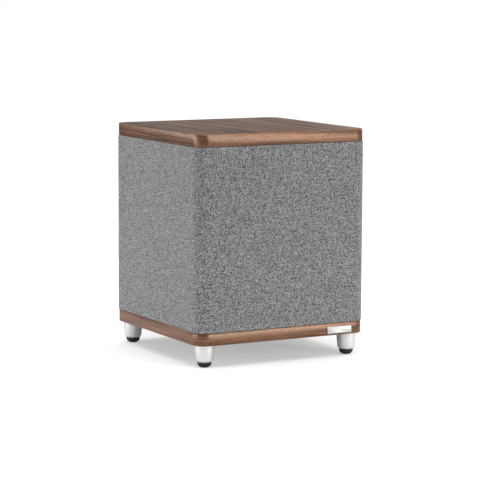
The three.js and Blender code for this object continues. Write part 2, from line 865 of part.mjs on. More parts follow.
const plateInner = -plateThickness;
const behindPlate = plateInner - touchGap;
const circuitFace = plateInner - boardSetback;
const potLow = circuitFace;
const switchCavityHeight = 2 * (Math.hypot(rockerRadius, rockerEnd) + holeGap);
const switchCavityWidth = 2 * (rockerHalfWidth + holeGap);
const switchBodyWidth = switchCavityWidth + 2 * switchWall;
const switchBodyHeight = switchCavityHeight + 2 * switchWall;
const inletBodyWidth = inletCavityWidth + 2 * inletWall;
const inletBodyHeight = inletCavityHeight + 2 * inletWall;
const slotWidth = sliderWidth + phaseTravel + 2 * holeGap;
const slotHeight = sliderHeight + 2 * holeGap;
const inputs = [
  ["left", levelX],
  ["right", levelX + inputPitch],
];
const controls = [
  ["level", levelX],
  ["crossover", crossoverX],
];
const ampScrews = [
  [-ampScrewX, -ampScrewY],
  [ampScrewX, -ampScrewY],
  [-ampScrewX, ampScrewY],
  [ampScrewX, ampScrewY],
];

/** A block centred on a place on the plate, between two depths. */
function slab(width, height, x, y, low, high) {
  return block([x - width / 2, y - height / 2, low], [x + width / 2, y + height / 2, high]);
}

function ampPlate() {
  const low = plateInner - cutMargin;
  const outline = roundedRectangle(plateWidth, plateHeight, plateCorner);
  const hole = 2 * holeGap;
  return cut(prism(outline, plateInner, 0), [
    ...ampScrews.map(([x, y]) => bar(screwHole, low, cutMargin, x, y)),
    ...controls.map(([, x]) => bar(spindleRadius + holeGap, low, cutMargin, x, controlsY)),
    ...inputs.map(([, x]) => bar(inputRadius + holeGap, low, cutMargin, x, inputY, footSides)),
    bar(ledRadius + holeGap, low, cutMargin, ledX, controlsY),
    slab(slotWidth, slotHeight, phaseX, controlsY, low, cutMargin),
    slab(switchBodyWidth + hole, switchBodyHeight + hole, switchX, powerY, low, cutMargin),
    slab(inletBodyWidth + hole, inletBodyHeight + hole, inletX, powerY, low, cutMargin),
  ]);
}

function ampGasket() {
  const outer = roundedRectangle(
    gasketOutsideWidth,
    gasketOutsideHeight,
    plateCorner - plateOverCloth - touchGap,
  );
  const inner = roundedRectangle(gasketInsideWidth, gasketInsideHeight, panelCutCorner);
  const high = behindPlate;
  const low = behindPlate - fabricThickness;
  return cut(prism(outer, low, high), [
    prism(inner, low - cutMargin, high + cutMargin),
    ...ampScrews.map(([x, y]) => bar(screwHole, low - cutMargin, high + cutMargin, x, y)),
  ]);
}

/** A comb of upright fins, drawn in section and run upwards. */
function heatsink() {
  const pitch = (sinkWidth - finThickness) / (finCount - 1);
  const comb = [
    [-sinkWidth / 2, 0],
    [sinkWidth / 2, 0],
  ];
  for (let i = finCount - 1; i >= 0; i -= 1) {
    const left = -sinkWidth / 2 + i * pitch;
    comb.push([left + finThickness, sinkDepth], [left, sinkDepth]);
    if (i > 0) {
      comb.push([left, sinkBase], [left - pitch + finThickness, sinkBase]);
    }
  }
  return prism(polygon(comb), -sinkHeight / 2, sinkHeight / 2);
}

function potBody(x) {
  return cut(bar(potRadius, potLow, behindPlate - 1, x, controlsY, footSides), [
    bar(spindleRadius + holeGap, behindPlate - 1 - spindleInPot - touchGap, 0, x, controlsY),
  ]);
}

/** The board with its posts, the two potentiometers and the larger components soldered to it. */
function circuitBoard() {
  const back = circuitFace - circuitThickness;
  const reach = circuitWidth / 2 - postInset;
  const postYs = [circuitY - circuitHeight / 2 + postInset, circuitY + circuitHeight / 2 - postInset];
  const into = 0.2; // how far a component is sunk into the board it is joined to
  return joined([
    slab(circuitWidth, circuitHeight, 0, circuitY, back, circuitFace),
    ...[-reach, reach].flatMap((x) =>
      postYs.map((y) => bar(postRadius, circuitFace - into, behindPlate, x, y, 8)),
    ),
    ...controls.map(([, x]) => potBody(x).add(bar(potRadius - 1, back, potLow + 1, x, controlsY, 8))),
    ...boardBlocks.map((c) => slab(c.width, c.height, c.x, c.y, back - c.depth, back + into)),
    ...boardCans.map((c) => bar(c.radius, back - c.depth, back + into, c.x, c.y)),
  ]);
}

function spindle() {
  return bar(spindleRadius, behindPlate - 1 - spindleInPot, knobLift + spindleInKnob);
}

/** A turned knob with a blind bore and an index notch in its face. */
function knob() {
  const top = knobLift + knobHeight;
  const bore = spindleRadius + holeGap;
  const body = turned(
    [
      [bore, knobLift],
      [knobRadius, knobLift],
      [knobRadius, top - knobChamfer],
      [knobRadius - knobChamfer, top],
      [0, top],
      [0, knobLift + spindleInKnob + touchGap],
      [bore, knobLift + spindleInKnob + touchGap],
    ],
    24,
  );
  return cut(body, [block([-0.6, knobRadius / 2, top - 0.7], [0.6, knobRadius + cutMargin, top + 1])]);
}

function phaseSwitch() {
  const floor = behindPlate - sliderInSwitch - touchGap;
  return cut(
    slab(phaseBodyWidth, phaseBodyHeight, phaseX, controlsY, behindPlate - phaseBodyDepth, behindPlate),
    [slab(slotWidth, slotHeight, phaseX, controlsY, floor, cutMargin)],
  );
}

function powerSwitch() {
  const flangeHighZ = touchGap + switchFlangeThickness;
  const floor = -rockerPivotDepth - rockerRadius - 1;
  const flangeWidth = switchBodyWidth + 2 * switchLip;
  const flangeHeight = switchBodyHeight + 2 * switchLip;
  return cut(
    joined([
      slab(flangeWidth, flangeHeight, switchX, powerY, touchGap, flangeHighZ),
      slab(switchBodyWidth, switchBodyHeight, switchX, powerY, -switchDepth, touchGap + 0.5),
    ]),
    [slab(switchCavityWidth, switchCavityHeight, switchX, powerY, floor, flangeHighZ + cutMargin)],
  );
}

/** A rocker with a shallow V face over a round underside, run across on X about its pivot. */
function rocker() {
  const under = Array.from({ length: 9 }, (_, i) => {
    const angle = Math.PI + (Math.PI * i) / 8;
    return [rockerRadius * Math.cos(angle), rockerRadius * Math.sin(angle)];
  });
  const outline = polygon([
    [rockerRadius, rockerEnd],
    [0, rockerMiddle],
    [-rockerRadius, rockerEnd],
    ...under,
  ]);
  return prism(outline, -rockerHalfWidth, rockerHalfWidth);
}

/** A three-pin inlet: a hollow body with two cut corners, blade pins on its floor and tags behind. */
function mainsInlet() {
  const flangeHighZ = touchGap + inletFlangeThickness;
  const floor = flangeHighZ - inletCavityDepth;
  const halfWidth = inletCavityWidth / 2;
  const halfHeight = inletCavityHeight / 2;
  const mouth = polygon([
    [inletX - halfWidth, powerY - halfHeight],
    [inletX + halfWidth, powerY - halfHeight],
    [inletX + halfWidth, powerY + halfHeight - inletCavityChamfer],
    [inletX + halfWidth - inletCavityChamfer, powerY + halfHeight],
    [inletX - halfWidth + inletCavityChamfer, powerY + halfHeight],
    [inletX - halfWidth, powerY + halfHeight - inletCavityChamfer],
  ]);
  const back = floor - inletFloor;
  const flangeWidth = inletBodyWidth + 2 * inletLip;
  const flangeHeight = inletBodyHeight + 2 * inletLip;
  const shell = cut(
    joined([
      slab(flangeWidth, flangeHeight, inletX, powerY, touchGap, flangeHighZ),
      slab(inletBodyWidth, inletBodyHeight, inletX, powerY, back, touchGap + 0.5),
    ]),
    [prism(mouth, floor, flangeHighZ + cutMargin)],
  );
  const pins = [-1, 0, 1].flatMap((step) => {
    const x = inletX + step * pinPitch;
    const y = powerY + (step ? -pinDrop : pinDrop);
    return [
      slab(pinThickness, pinHeight, x, y, floor - 1, floor + pinLength),
      slab(1, 5, x, y, back - 7, back + 1),
    ];
  });
  return joined([shell, ...pins]);
}

/** A phono socket: a barrel with a pin hole, a seat outside the plate and a wider body behind it. */
function inputSocket() {
  return turned(
    [
      [0, -inputBackDepth],
      [inputBackRadius, -inputBackDepth],
      [inputBackRadius, behindPlate],
      [inputRadius, behindPlate],
      [inputRadius, touchGap],
      [inputFlangeRadius, touchGap],
      [inputFlangeRadius, touchGap + inputFlangeThickness],
      [inputRadius, touchGap + inputFlangeThickness],
      [inputRadius, inputReach],
      [inputHoleRadius, inputReach],
      [inputHoleRadius, 0],
      [0, 0],
    ],
    16,
  );
}

function statusLed() {
  return turned(
    [
      [0, behindPlate - 5],
      [ledFlangeRadius, behindPlate - 5],
      [ledFlangeRadius, behindPlate],
      [ledRadius, behindPlate],
      ...arc(0, ledReach - ledRadius, ledRadius, ledRadius, 0, 90, 3),
    ],
    smallSides,
  );
}

function amplifier() {
  const group = new THREE.Group();
  piece(group, "amp_plate", ampPlate(), "blackPaint");
  piece(group, "amp_gasket", ampGasket(), "foam");
  const sink = piece(group, "heatsink", heatsink(), "blackPaint");
  sink.rotation.x = Math.PI / 2;
  sink.position.set(0, sinkY, touchGap);
  piece(group, "circuit_board", circuitBoard(), "circuit");
  for (const [name, x] of controls) {
    piece(group, `${name}_spindle`, spindle(), "aluminium").position.set(x, controlsY, 0);
    piece(group, `${name}_knob`, knob(), "blackPlastic").position.set(x, controlsY, 0);
  }
  piece(group, "phase_switch", phaseSwitch(), "steel");
  const slider = slab(
    sliderWidth,
    sliderHeight,
    phaseX - phaseTravel / 2,
    controlsY,
    behindPlate - sliderInSwitch,
    sliderReach,
  );
  piece(group, "phase_slider", slider, "blackPlastic");
  piece(group, "power_switch", powerSwitch(), "blackPlastic");
  const rockerMesh = piece(group, "power_rocker", rocker(), "blackPlastic");
  rockerMesh.rotation.set(Math.PI / 2 + THREE.MathUtils.degToRad(rockerTilt), Math.PI / 2, 0);
  rockerMesh.position.set(switchX, powerY, -rockerPivotDepth);
  piece(group, "mains_inlet", mainsInlet(), "blackPlastic");
  for (const [name, x] of inputs) {
    piece(group, `rca_${name}`, inputSocket(), "gold").position.set(x, inputY, 0);
  }
  piece(group, "status_led", statusLed(), "clearGreen").position.set(ledX, controlsY, 0);
  const shank = plateThickness + plateStandoff + ampScrewInWood;
  ampScrews.forEach(([x, y], i) => {
    piece(group, `amp_screw_${i + 1}`, panScrew(shank), "blackSteel").position.set(x, y, touchGap);
  });
  group.rotation.set(Math.PI / 2, Math.PI, 0);
  group.position.set(0, plateFace, plateCentreHeight);
  return group;
}

// ---------------------------------------------------------------- inside the cabinet

function transformerParts() {
  const group = new THREE.Group();
  const low = touchGap;
  const high = low + transformerHeight;
  const chamfer = transformerChamfer;
  const coil = turned([
    [transformerHole + chamfer, low],
    [transformerRadius - chamfer, low],
    [transformerRadius, low + chamfer],
    [transformerRadius, high - chamfer],
    [transformerRadius - chamfer, high],
    [transformerHole + chamfer, high],
    [transformerHole, high - chamfer],
    [transformerHole, low + chamfer],
  ]);
  const seat = high + touchGap;
  const bolt = turned(
    [
      [0, -boltInWall],
      [boltRadius, -boltInWall],
      [boltRadius, seat],
      [washerRadius, seat],
      [washerRadius, seat + washerThickness],
      [boltHeadRadius, seat + washerThickness],
      [boltHeadRadius, seat + washerThickness + boltHeadHeight],
      [0, seat + washerThickness + boltHeadHeight],
    ],
    footSides,
  );
  piece(group, "transformer", coil, "tapeYellow");
  piece(group, "transformer_bolt", bolt, "steel");
  group.rotation.y = Math.PI / 2;
  group.position.set(-carcassWidth / 2 + wallThickness, transformerY, transformerUp);
  return group;
}

/** The lead runs from the circuit board, over the magnet's side, down to the basket's terminal. */
function driverLead() {
  const startY = plateFace + circuitFace - circuitThickness - touchGap;
  const angle = THREE.MathUtils.degToRad(terminalAngle);
  const reach = shelfOutside + basketWall + terminalReach / 2;
  const endX = reach * Math.cos(angle);
  const endY = reach * Math.sin(angle);
  const endZ = cabinetLow + shelfHigh + touchGap;
  const startZ = plateCentreHeight + controlsY - 8;
  const route = new THREE.CatmullRomCurve3([
    new THREE.Vector3(-20, startY, startZ),
    new THREE.Vector3(-20, startY - 12, startZ - 1),
    new THREE.Vector3(-36, startY - 28, startZ - 26),
    new THREE.Vector3(endX - 3, endY + 6, endZ + 34),
    new THREE.Vector3(endX, endY, endZ + 12),
    new THREE.Vector3(endX, endY, endZ),
  ]);
  const section = new THREE.Shape();
  section.absarc(0, 0, leadRadius, 0, 2 * Math.PI);
  const tube = new THREE.ExtrudeGeometry(section, { extrudePath: route, steps: 24, curveSegments: 4 });
  return solidOf(tube);
}

// ---------------------------------------------------------------- assembly

const subwoofer = new THREE.Group();
const inside = new THREE.Group();
piece(inside, "driver_lead", driverLead(), "blackPlastic");
subwoofer.add(cabinet(), feet(), driver(), amplifier(), transformerParts(), inside);
// The origin is under the middle of the whole, whose rear reaches further than its front.
subwoofer.position.y = -(rearReach - frontReach) / 2;

export default subwoofer;
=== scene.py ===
"""Looks of a small powered subwoofer: walnut boards, a cloth-wrapped body and four metal feet.

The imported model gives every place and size. Each class here makes one sub-assembly around it.
"""

import json
import logging
import math
from dataclasses import dataclass, replace
from enum import Enum
from typing import Callable, Sequence

import bmesh
import bpy
from mathutils import Matrix, Vector, noise
from mathutils.bvhtree import BVHTree


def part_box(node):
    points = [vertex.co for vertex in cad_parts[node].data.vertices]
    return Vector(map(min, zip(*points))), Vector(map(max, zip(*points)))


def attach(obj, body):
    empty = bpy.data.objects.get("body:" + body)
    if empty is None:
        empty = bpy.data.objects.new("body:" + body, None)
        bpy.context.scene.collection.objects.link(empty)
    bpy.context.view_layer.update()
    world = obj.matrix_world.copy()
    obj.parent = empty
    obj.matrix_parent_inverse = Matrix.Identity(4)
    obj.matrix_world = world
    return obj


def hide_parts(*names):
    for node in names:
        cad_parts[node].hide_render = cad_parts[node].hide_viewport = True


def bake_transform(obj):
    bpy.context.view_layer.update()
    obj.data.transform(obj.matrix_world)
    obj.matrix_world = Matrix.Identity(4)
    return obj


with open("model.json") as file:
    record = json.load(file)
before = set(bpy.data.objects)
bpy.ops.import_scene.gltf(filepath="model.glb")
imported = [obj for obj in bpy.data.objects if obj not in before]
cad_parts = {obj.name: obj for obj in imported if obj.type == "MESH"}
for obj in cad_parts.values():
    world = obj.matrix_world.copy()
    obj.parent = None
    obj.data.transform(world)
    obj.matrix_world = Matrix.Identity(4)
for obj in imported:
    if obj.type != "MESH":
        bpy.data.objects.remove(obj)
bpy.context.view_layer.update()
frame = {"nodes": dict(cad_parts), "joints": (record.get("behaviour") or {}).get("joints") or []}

MM = 0.001
UPRIGHT = Matrix(((1, 0, 0, 0), (0, 0, 1, 0), (0, 1, 0, 0), (0, 0, 0, 1)))
GRAIN_PATH = "grain_path"
CLOTH_GRID = "cloth_grid"
ROUND_SIDES = 96
LOG = logging.getLogger("subwoofer")

Point = tuple[float, float]
Socket = bpy.types.NodeSocket
Piece = bpy.types.Object
Feeds = dict[str, object]


class Corner(Enum):
    """Where a foot stands, as its nodes are named."""

    FRONT_LEFT = "front_left"
    FRONT_RIGHT = "front_right"
    BACK_LEFT = "back_left"
    BACK_RIGHT = "back_right"


# ---- node trees


class Bench:
    """Adds nodes to one tree and joins them up."""

    def __init__(self, tree: bpy.types.NodeTree) -> None:
        """Works on the given tree."""
        self.tree = tree

    def add(self, kind: str, inputs: dict | None = None, **settings: object) -> bpy.types.Node:
        """Adds one node.

        Args:
            kind: The node's type without its "ShaderNode" prefix.
            inputs: Numbers or sockets for its inputs, by name or by place.
            **settings: Properties of the node itself.

        Returns:
            The new node.
        """
        node = self.tree.nodes.new("ShaderNode" + kind)
        for name, value in settings.items():
            setattr(node, name, value)
        for key, value in (inputs or {}).items():
            self.feed(node.inputs[key], value)
        return node

    def feed(self, socket: Socket, value: object) -> None:
        """Links a socket into an input, or sets the input to a plain value.

        Args:
            socket: The input.
            value: The socket or value for it.
        """
        if isinstance(value, bpy.types.NodeSocket):
            self.tree.links.new(value, socket)
        else:
            socket.default_value = value

    @property
    def surface(self) -> bpy.types.Node:
        """The material's Principled surface."""
        return self.tree.nodes["Principled BSDF"]

    def math(self, operation: str, *values: object) -> Socket:
        """One Math node, and its result."""
        return self.add("Math", dict(enumerate(values)), operation=operation).outputs[0]

    def vector(self, operation: str, *values: object) -> Socket:
        """One Vector Math node, and its vector."""
        return self.add("VectorMath", dict(enumerate(values)), operation=operation).outputs[0]

    def split(self, vector: Socket) -> tuple[Socket, Socket, Socket]:
        """The three numbers of a vector."""
        node = self.add("SeparateXYZ", {0: vector})
        return node.outputs[0], node.outputs[1], node.outputs[2]

    def vec(self, x: object = 0.0, y: object = 0.0, z: object = 0.0) -> Socket:
        """A vector from three numbers."""
        return self.add("CombineXYZ", {0: x, 1: y, 2: z}).outputs[0]

    def scaled(self, vector: Socket, x: float, y: float, z: float) -> Socket:
        """A vector stretched by a factor along each axis."""
        return self.vector("MULTIPLY", vector, (x, y, z))

    def span(self, value: Socket, low: float, high: float, to_low: float = 0.0, to_high: float = 1.0) -> Socket:
        """A value moved smoothly from one range to another, and held at its ends."""
        given = {0: value, 1: low, 2: high, 3: to_low, 4: to_high}
        return self.add("MapRange", given, interpolation_type="SMOOTHSTEP").outputs[0]

    def noise(self, vector: Socket, scale: object = 1.0, detail: float = 2.0, rough: float = 0.5) -> Socket:
        """The grey value of a noise texture."""
        given = {"Vector": vector, "Scale": scale, "Detail": detail, "Roughness": rough}
        return self.add("TexNoise", given).outputs[0]

    def mix(self, first: object, second: object, share: object) -> Socket:
        """A colour between two.

        Args:
            first: The colour at a share of 0, as a socket or as three numbers.
            second: The colour at a share of 1.
            share: How much of the second there is.

        Returns:
            The mixed colour.
        """
        node = self.add("Mix", data_type="RGBA")
        self.feed(node.inputs[0], share)
        for place, colour in ((6, first), (7, second)):
            linked_in = isinstance(colour, bpy.types.NodeSocket)
            self.feed(node.inputs[place], colour if linked_in else (*colour, 1.0))
        return node.outputs[2]

    def ramp(self, value: Socket, stops: Sequence[tuple[float, tuple]]) -> Socket:
        """A colour read off a ramp.

        Args:
            value: Where to read it, from 0 to 1.
            stops: The place and colour of each stop, in order.

        Returns:
            The colour.
        """
        node = self.add("ValToRGB", {0: value})
        ramp = node.color_ramp
        while len(ramp.elements) < len(stops):
            ramp.elements.new(0.5)
        for element, (place, colour) in zip(ramp.elements, stops):
            element.position = place
            element.color = (*colour, 1.0)
        return node.outputs[0]

    def reach(self, x: Socket, y: Socket) -> Socket:
        """The distance of a place from the Z axis."""
        return self.math("SQRT", self.math("ADD", self.math("MULTIPLY", x, x), self.math("MULTIPLY", y, y)))

    def place(self) -> Socket:
        """The point's own place on the object, in metres."""
        return self.add("TexCoord").outputs["Object"]

    def stored(self, name: str) -> Socket:
        """A vector stored on the mesh under a name."""
        return self.add("Attribute", attribute_name=name, attribute_type="GEOMETRY").outputs["Vector"]

    def bump(self, height: Socket, depth: float, strength: float = 1.0) -> Socket:
        """A normal bent by a height of so many metres."""
        given = {"Height": height, "Distance": depth, "Strength": strength}
        return self.add("Bump", given).outputs[0]


class Effect:
    """A shader node group built once and placed in any material."""

    def __init__(self, name: str, takes: dict, gives: Sequence[str], build: Callable) -> None:
        """Keeps what the group takes and gives, and how it is built.

        Args:
            name: The group's name.
            takes: Each input's default value, by name.
            gives: The names of its outputs, which are all single values.
            build: Given the bench and the inputs by name, makes the nodes and returns the outputs.
        """
        self.name, self.takes, self.gives, self.build = name, takes, gives, build

    def tree(self) -> bpy.types.NodeTree:
        """The group's tree, built at its first use.

        Returns:
            The node group.
        """
        made = bpy.data.node_groups.get(self.name)
        if made:
            return made
        made = bpy.data.node_groups.new(self.name, "ShaderNodeTree")
        for name, default in self.takes.items():
            kind = "NodeSocketVector" if default is None else "NodeSocketFloat"
            socket = made.interface.new_socket(name, in_out="INPUT", socket_type=kind)
            if default is not None:
                socket.default_value = default
        for name in self.gives:
            made.interface.new_socket(name, in_out="OUTPUT", socket_type="NodeSocketFloat")
        source, sink = made.nodes.new("NodeGroupInput"), made.nodes.new("NodeGroupOutput")
        results = self.build(Bench(made), {name: source.outputs[name] for name in self.takes})
        for name, socket in results.items():
            made.links.new(socket, sink.inputs[name])
        return made

    def on(self, bench: Bench, **given: object) -> dict[str, Socket]:
        """Places the group.

        Args:
            bench: The material's bench.
            **given: Inputs by name, with underscores for spaces.

        Returns:
            The group's outputs by name.
        """
        node = bench.tree.nodes.new("ShaderNodeGroup")
        node.node_tree = self.tree()
        for name, value in given.items():
            bench.feed(node.inputs[name.replace("_", " ").capitalize()], value)
        return {socket.name: socket for socket in node.outputs}


def _weave(b: Bench, given: dict) -> dict:
    """Plain weave: each thread passes over one neighbour and under the next, with uneven yarn.

    Args:
        b: The group's bench.
        given: The group's inputs by name.

    Returns:
        The group's outputs by name.
    """
    pitch = given["Thread pitch"]
    u, v, _ = b.split(given["Place"])
    wander = b.noise(given["Place"], 160.0, 1.0)
    shift = b.math("MULTIPLY", b.math("SUBTRACT", wander, 0.5), given["Slub"])
    u = b.math("ADD", b.math("DIVIDE", u, pitch), shift)
    v = b.math("ADD", b.math("DIVIDE", v, pitch), shift)
    column, row = b.math("FLOOR", u), b.math("FLOOR", v)

    def thread(across: Socket, along: Socket, index: Socket) -> Socket:
        """The height of the round threads that run one way.

        Args:
            across: The place across the threads, in threads.
            along: The place along them.
            index: Which thread it is.

        Returns:
            The height, from 0 to 1.
        """
        crest = b.math("ABSOLUTE", b.math("SINE", b.math("MULTIPLY", across, math.pi)))
        round_top = b.math("POWER", crest, 0.6)
        wave = b.math("SINE", b.math("MULTIPLY", b.math("ADD", along, index), math.pi))
        return b.math("MULTIPLY", round_top, b.math("MULTIPLY_ADD", wave, 0.5, 0.5))

    warp = thread(u, v, column)
    weft = thread(v, u, b.math("ADD", row, 1.0))
    on_top = b.math("GREATER_THAN", warp, weft)

    def yarn(index: Socket, along: Socket, seed: float) -> Socket:
        """The tone of one thread's yarn, which changes along it."""
        spot = b.vec(b.math("MULTIPLY", index, 7.31), b.math("MULTIPLY", along, 0.70), seed)
        return b.noise(spot, rough=0.6)

    warp_tone, weft_tone = yarn(column, v, 3.0), yarn(row, u, 91.0)
    tone = b.math("ADD", b.math("MULTIPLY", warp_tone, on_top),
                  b.math("MULTIPLY", weft_tone, b.math("SUBTRACT", 1.0, on_top)))
    return {"Height": b.math("MAXIMUM", warp, weft), "Warp on top": on_top, "Tone": tone}


WEAVE = Effect(
    "Woven threads",
    {"Place": None, "Thread pitch": 0.001, "Slub": 0.3},
    ("Height", "Warp on top", "Tone"),
    _weave,
)


def _grain(b: Bench, given: dict) -> dict:
    """Wood grain along X: broad figure, fine streaks and short dark pores.

    Args:
        b: The group's bench.
        given: The group's inputs by name.

    Returns:
        The group's outputs by name.
    """
    place = given["Place"]
    bend = b.noise(b.scaled(place, 7.0, 30.0, 30.0))
    x, y, z = b.split(place)
    y = b.math("ADD", y, b.math("MULTIPLY", b.math("SUBTRACT", bend, 0.5), given["Waviness"]))
    bent = b.vec(x, y, z)
    figure = b.noise(b.scaled(bent, 5.0, 110.0, 110.0), 1.0, 3.0, 0.55)
    streak = b.noise(b.scaled(bent, 9.0, 480.0, 480.0), 1.0, 3.0, 0.6)
    dash = b.vector("MULTIPLY", b.scaled(bent, 125.0, 1350.0, 1350.0), b.vec(*[given["Pore scale"]] * 3))
    fleck = b.noise(dash, 1.0, 3.0, 0.6)
    pores = b.span(fleck, 0.53, 0.66)
    return {"Figure": figure, "Streak": streak, "Pores": pores}


GRAIN = Effect(
    "Wood grain",
    {"Place": None, "Waviness": 0.004, "Pore scale": 1.0},
    ("Figure", "Streak", "Pores"),
    _grain,
)


def _mottle(b: Bench, given: dict) -> dict:
    """Fine unevenness of a moulded, sprayed or pressed surface, in two sizes.

    Args:
        b: The group's bench.
        given: The group's inputs by name.

    Returns:
        The group's outputs by name.
    """
    coarse = b.noise(given["Place"], given["Coarse"])
    fine = b.noise(given["Place"], given["Fine"], 3.0)
    both = b.math("ADD", b.math("MULTIPLY", coarse, 0.5), b.math("MULTIPLY", fine, 0.5))
    return {"Tone": both, "Height": fine, "Patches": b.span(coarse, 0.35, 0.65)}


MOTTLE = Effect(
    "Fine mottle",
    {"Place": None, "Coarse": 40.0, "Fine": 900.0},
    ("Tone", "Height", "Patches"),
    _mottle,
)


def _wear(b: Bench, given: dict) -> dict:
    """Where an edge has been rubbed: the difference between the true normal and a rounded one.

    Args:
        b: The group's bench.
        given: The group's inputs by name.

    Returns:
        The group's outputs by name.
    """
    soft = b.add("Bevel", {"Radius": given["Width"]}, samples=4).outputs[0]
    true = b.add("NewGeometry").outputs["True Normal"]
    alike = b.add("VectorMath", {0: soft, 1: true}, operation="DOT_PRODUCT").outputs["Value"]
    apart = b.math("SUBTRACT", 1.0, alike)
    rubbed = b.noise(given["Place"], 260.0, 3.0)
    edge = b.math("MULTIPLY", b.span(apart, 0.01, 0.12), b.span(rubbed, 0.35, 0.7, 0.25, 1.0))
    return {"Mask": b.math("MULTIPLY", edge, given["Amount"])}


WEAR = Effect("Edge wear", {"Place": None, "Width": 0.0006, "Amount": 0.5}, ("Mask",), _wear)


def _rings(b: Bench, given: dict) -> dict:
    """Fine lines left by a lathe: noise that changes with radius and height, and hardly with the turn.

    Args:
        b: The group's bench.
        given: The group's inputs by name.

    Returns:
        The group's outputs by name.
    """
    x, y, z = b.split(given["Place"])
    finest, drift = 3600.0, 0.35
    radius = b.math("MULTIPLY", b.reach(x, y), finest)
    turn = b.math("MULTIPLY", b.math("ARCTAN2", y, x), drift)
    line = b.noise(b.vec(radius, b.math("MULTIPLY", z, finest), turn), 1.0, 3.0, 0.6)
    return {"Lines": line}


RINGS = Effect("Lathe lines", {"Place": None}, ("Lines",), _rings)


# ---- finishes


@dataclass(frozen=True)
class Finish:
    """A surface finish. Each kind dresses a Principled surface in its own way."""

    name: str
    roughness: float = 0.5
    metallic: float = 0.0
    specular: float = 0.5

    def material(self) -> bpy.types.Material:
        """The finish as a material, made at its first use.

        Returns:
            The material, named after the finish.
        """
        label = self.name + "_finish"
        made = bpy.data.materials.get(label)
        if made:
            return made
        made = bpy.data.materials.new(label)
        made.use_nodes = True
        bench = Bench(made.node_tree)
        even = {"Roughness": self.roughness, "Metallic": self.metallic, "Specular IOR Level": self.specular}
        for socket, value in (even | self.dress(bench)).items():
            bench.feed(bench.surface.inputs[socket], value)
        return made

    def dress(self, b: Bench) -> Feeds:
        """The nodes of this finish.

        Args:
            b: The material's bench.

        Returns:
            What feeds each of the surface's sockets.
        """
        raise NotImplementedError


@dataclass(frozen=True)
class Walnut(Finish):
    """Oiled walnut veneer: grain follows the path stored on the mesh."""

    dark: tuple = (0.030, 0.013, 0.008)
    middle: tuple = (0.135, 0.062, 0.036)
    light: tuple = (0.300, 0.142, 0.080)
    pore: tuple = (0.016, 0.007, 0.004)
    glaze: tuple = (1.0, 0.66, 0.46)
    figure_share: float = 0.40
    middle_tone: float = 0.48
    spread: float = 0.12
    pore_share: float = 0.75
    pore_scale: float = 1.0
    waviness: float = 0.004

    def dress(self, b: Bench) -> Feeds:
        """Figure and streaks choose the tone, pores darken it and sink into it.

        Args:
            b: The material's bench.

        Returns:
            What feeds each of the surface's sockets.
        """
        b.surface.inputs["Specular Tint"].default_value = (*self.glaze, 1.0)
        place = b.stored(GRAIN_PATH)
        grain = GRAIN.on(b, place=place, waviness=self.waviness, pore_scale=self.pore_scale)
        tone = b.math("MULTIPLY_ADD", grain["Streak"], 1 - self.figure_share,
                      b.math("MULTIPLY", grain["Figure"], self.figure_share))
        low, high = self.middle_tone - self.spread, self.middle_tone + self.spread
        wood = b.ramp(tone, [(low, self.dark), (self.middle_tone, self.middle), (high, self.light)])
        share = b.math("MULTIPLY", grain["Pores"], self.pore_share)
        colour = b.mix(wood, self.pore, share)
        height = b.math("SUBTRACT", b.math("MULTIPLY", grain["Streak"], 0.3), grain["Pores"])
        rough = b.math("MULTIPLY_ADD", grain["Streak"], 0.18, self.roughness - 0.06)
        return {"Base Color": colour, "Roughness": rough, "Normal": b.bump(height, 0.06 * MM, 0.6)}


@dataclass(frozen=True)
class MelangeCloth(Finish):
    """Acoustic cloth woven from flecked light and dark grey yarn."""

    pitch: float = 0.98 * MM
    dark: tuple = (0.020, 0.020, 0.021)
    light: tuple = (0.46, 0.46, 0.462)
    contrast: float = 2.5
    slub: float = 0.55
    sheen: tuple = (0.25, 0.6)

    def dress(self, b: Bench) -> Feeds:
        """Yarn tone from the weave, faint slubs along both threads, painted shade where the threads dip, and a
        soft sheen.

        Args:
            b: The material's bench.

        Returns:
            What feeds each of the surface's sockets.
        """
        sheen = b.surface.inputs["Sheen Weight"], b.surface.inputs["Sheen Roughness"]
        sheen[0].default_value, sheen[1].default_value = self.sheen
        place = b.stored(CLOTH_GRID)
        weave = WEAVE.on(b, place=place, thread_pitch=self.pitch, slub=self.slub)
        upright = b.noise(b.scaled(place, 620.0, 36.0, 1.0))
        level = b.noise(b.scaled(place, 36.0, 620.0, 1.0))
        slub = b.math("ADD", b.math("SUBTRACT", upright, 0.5), b.math("SUBTRACT", level, 0.5))
        yarn = b.math("MULTIPLY_ADD", b.math("SUBTRACT", weave["Tone"], 0.5), 2.3 * self.contrast, 0.47)
        lean = b.math("MULTIPLY_ADD", weave["Warp on top"], 0.16, -0.08)
        # Painted shade: the yarn is darker where the threads sink between their neighbours.
        shade = b.math("MULTIPLY_ADD", b.math("SUBTRACT", weave["Height"], 0.75), 0.30, lean)
        tone = b.math("ADD", b.math("ADD", yarn, shade), b.math("MULTIPLY", slub, self.slub))
        colour = b.mix(self.dark, self.light, b.span(tone, 0.0, 1.0))
        return {"Base Color": colour, "Normal": b.bump(weave["Height"], 0.22 * MM, 0.7)}


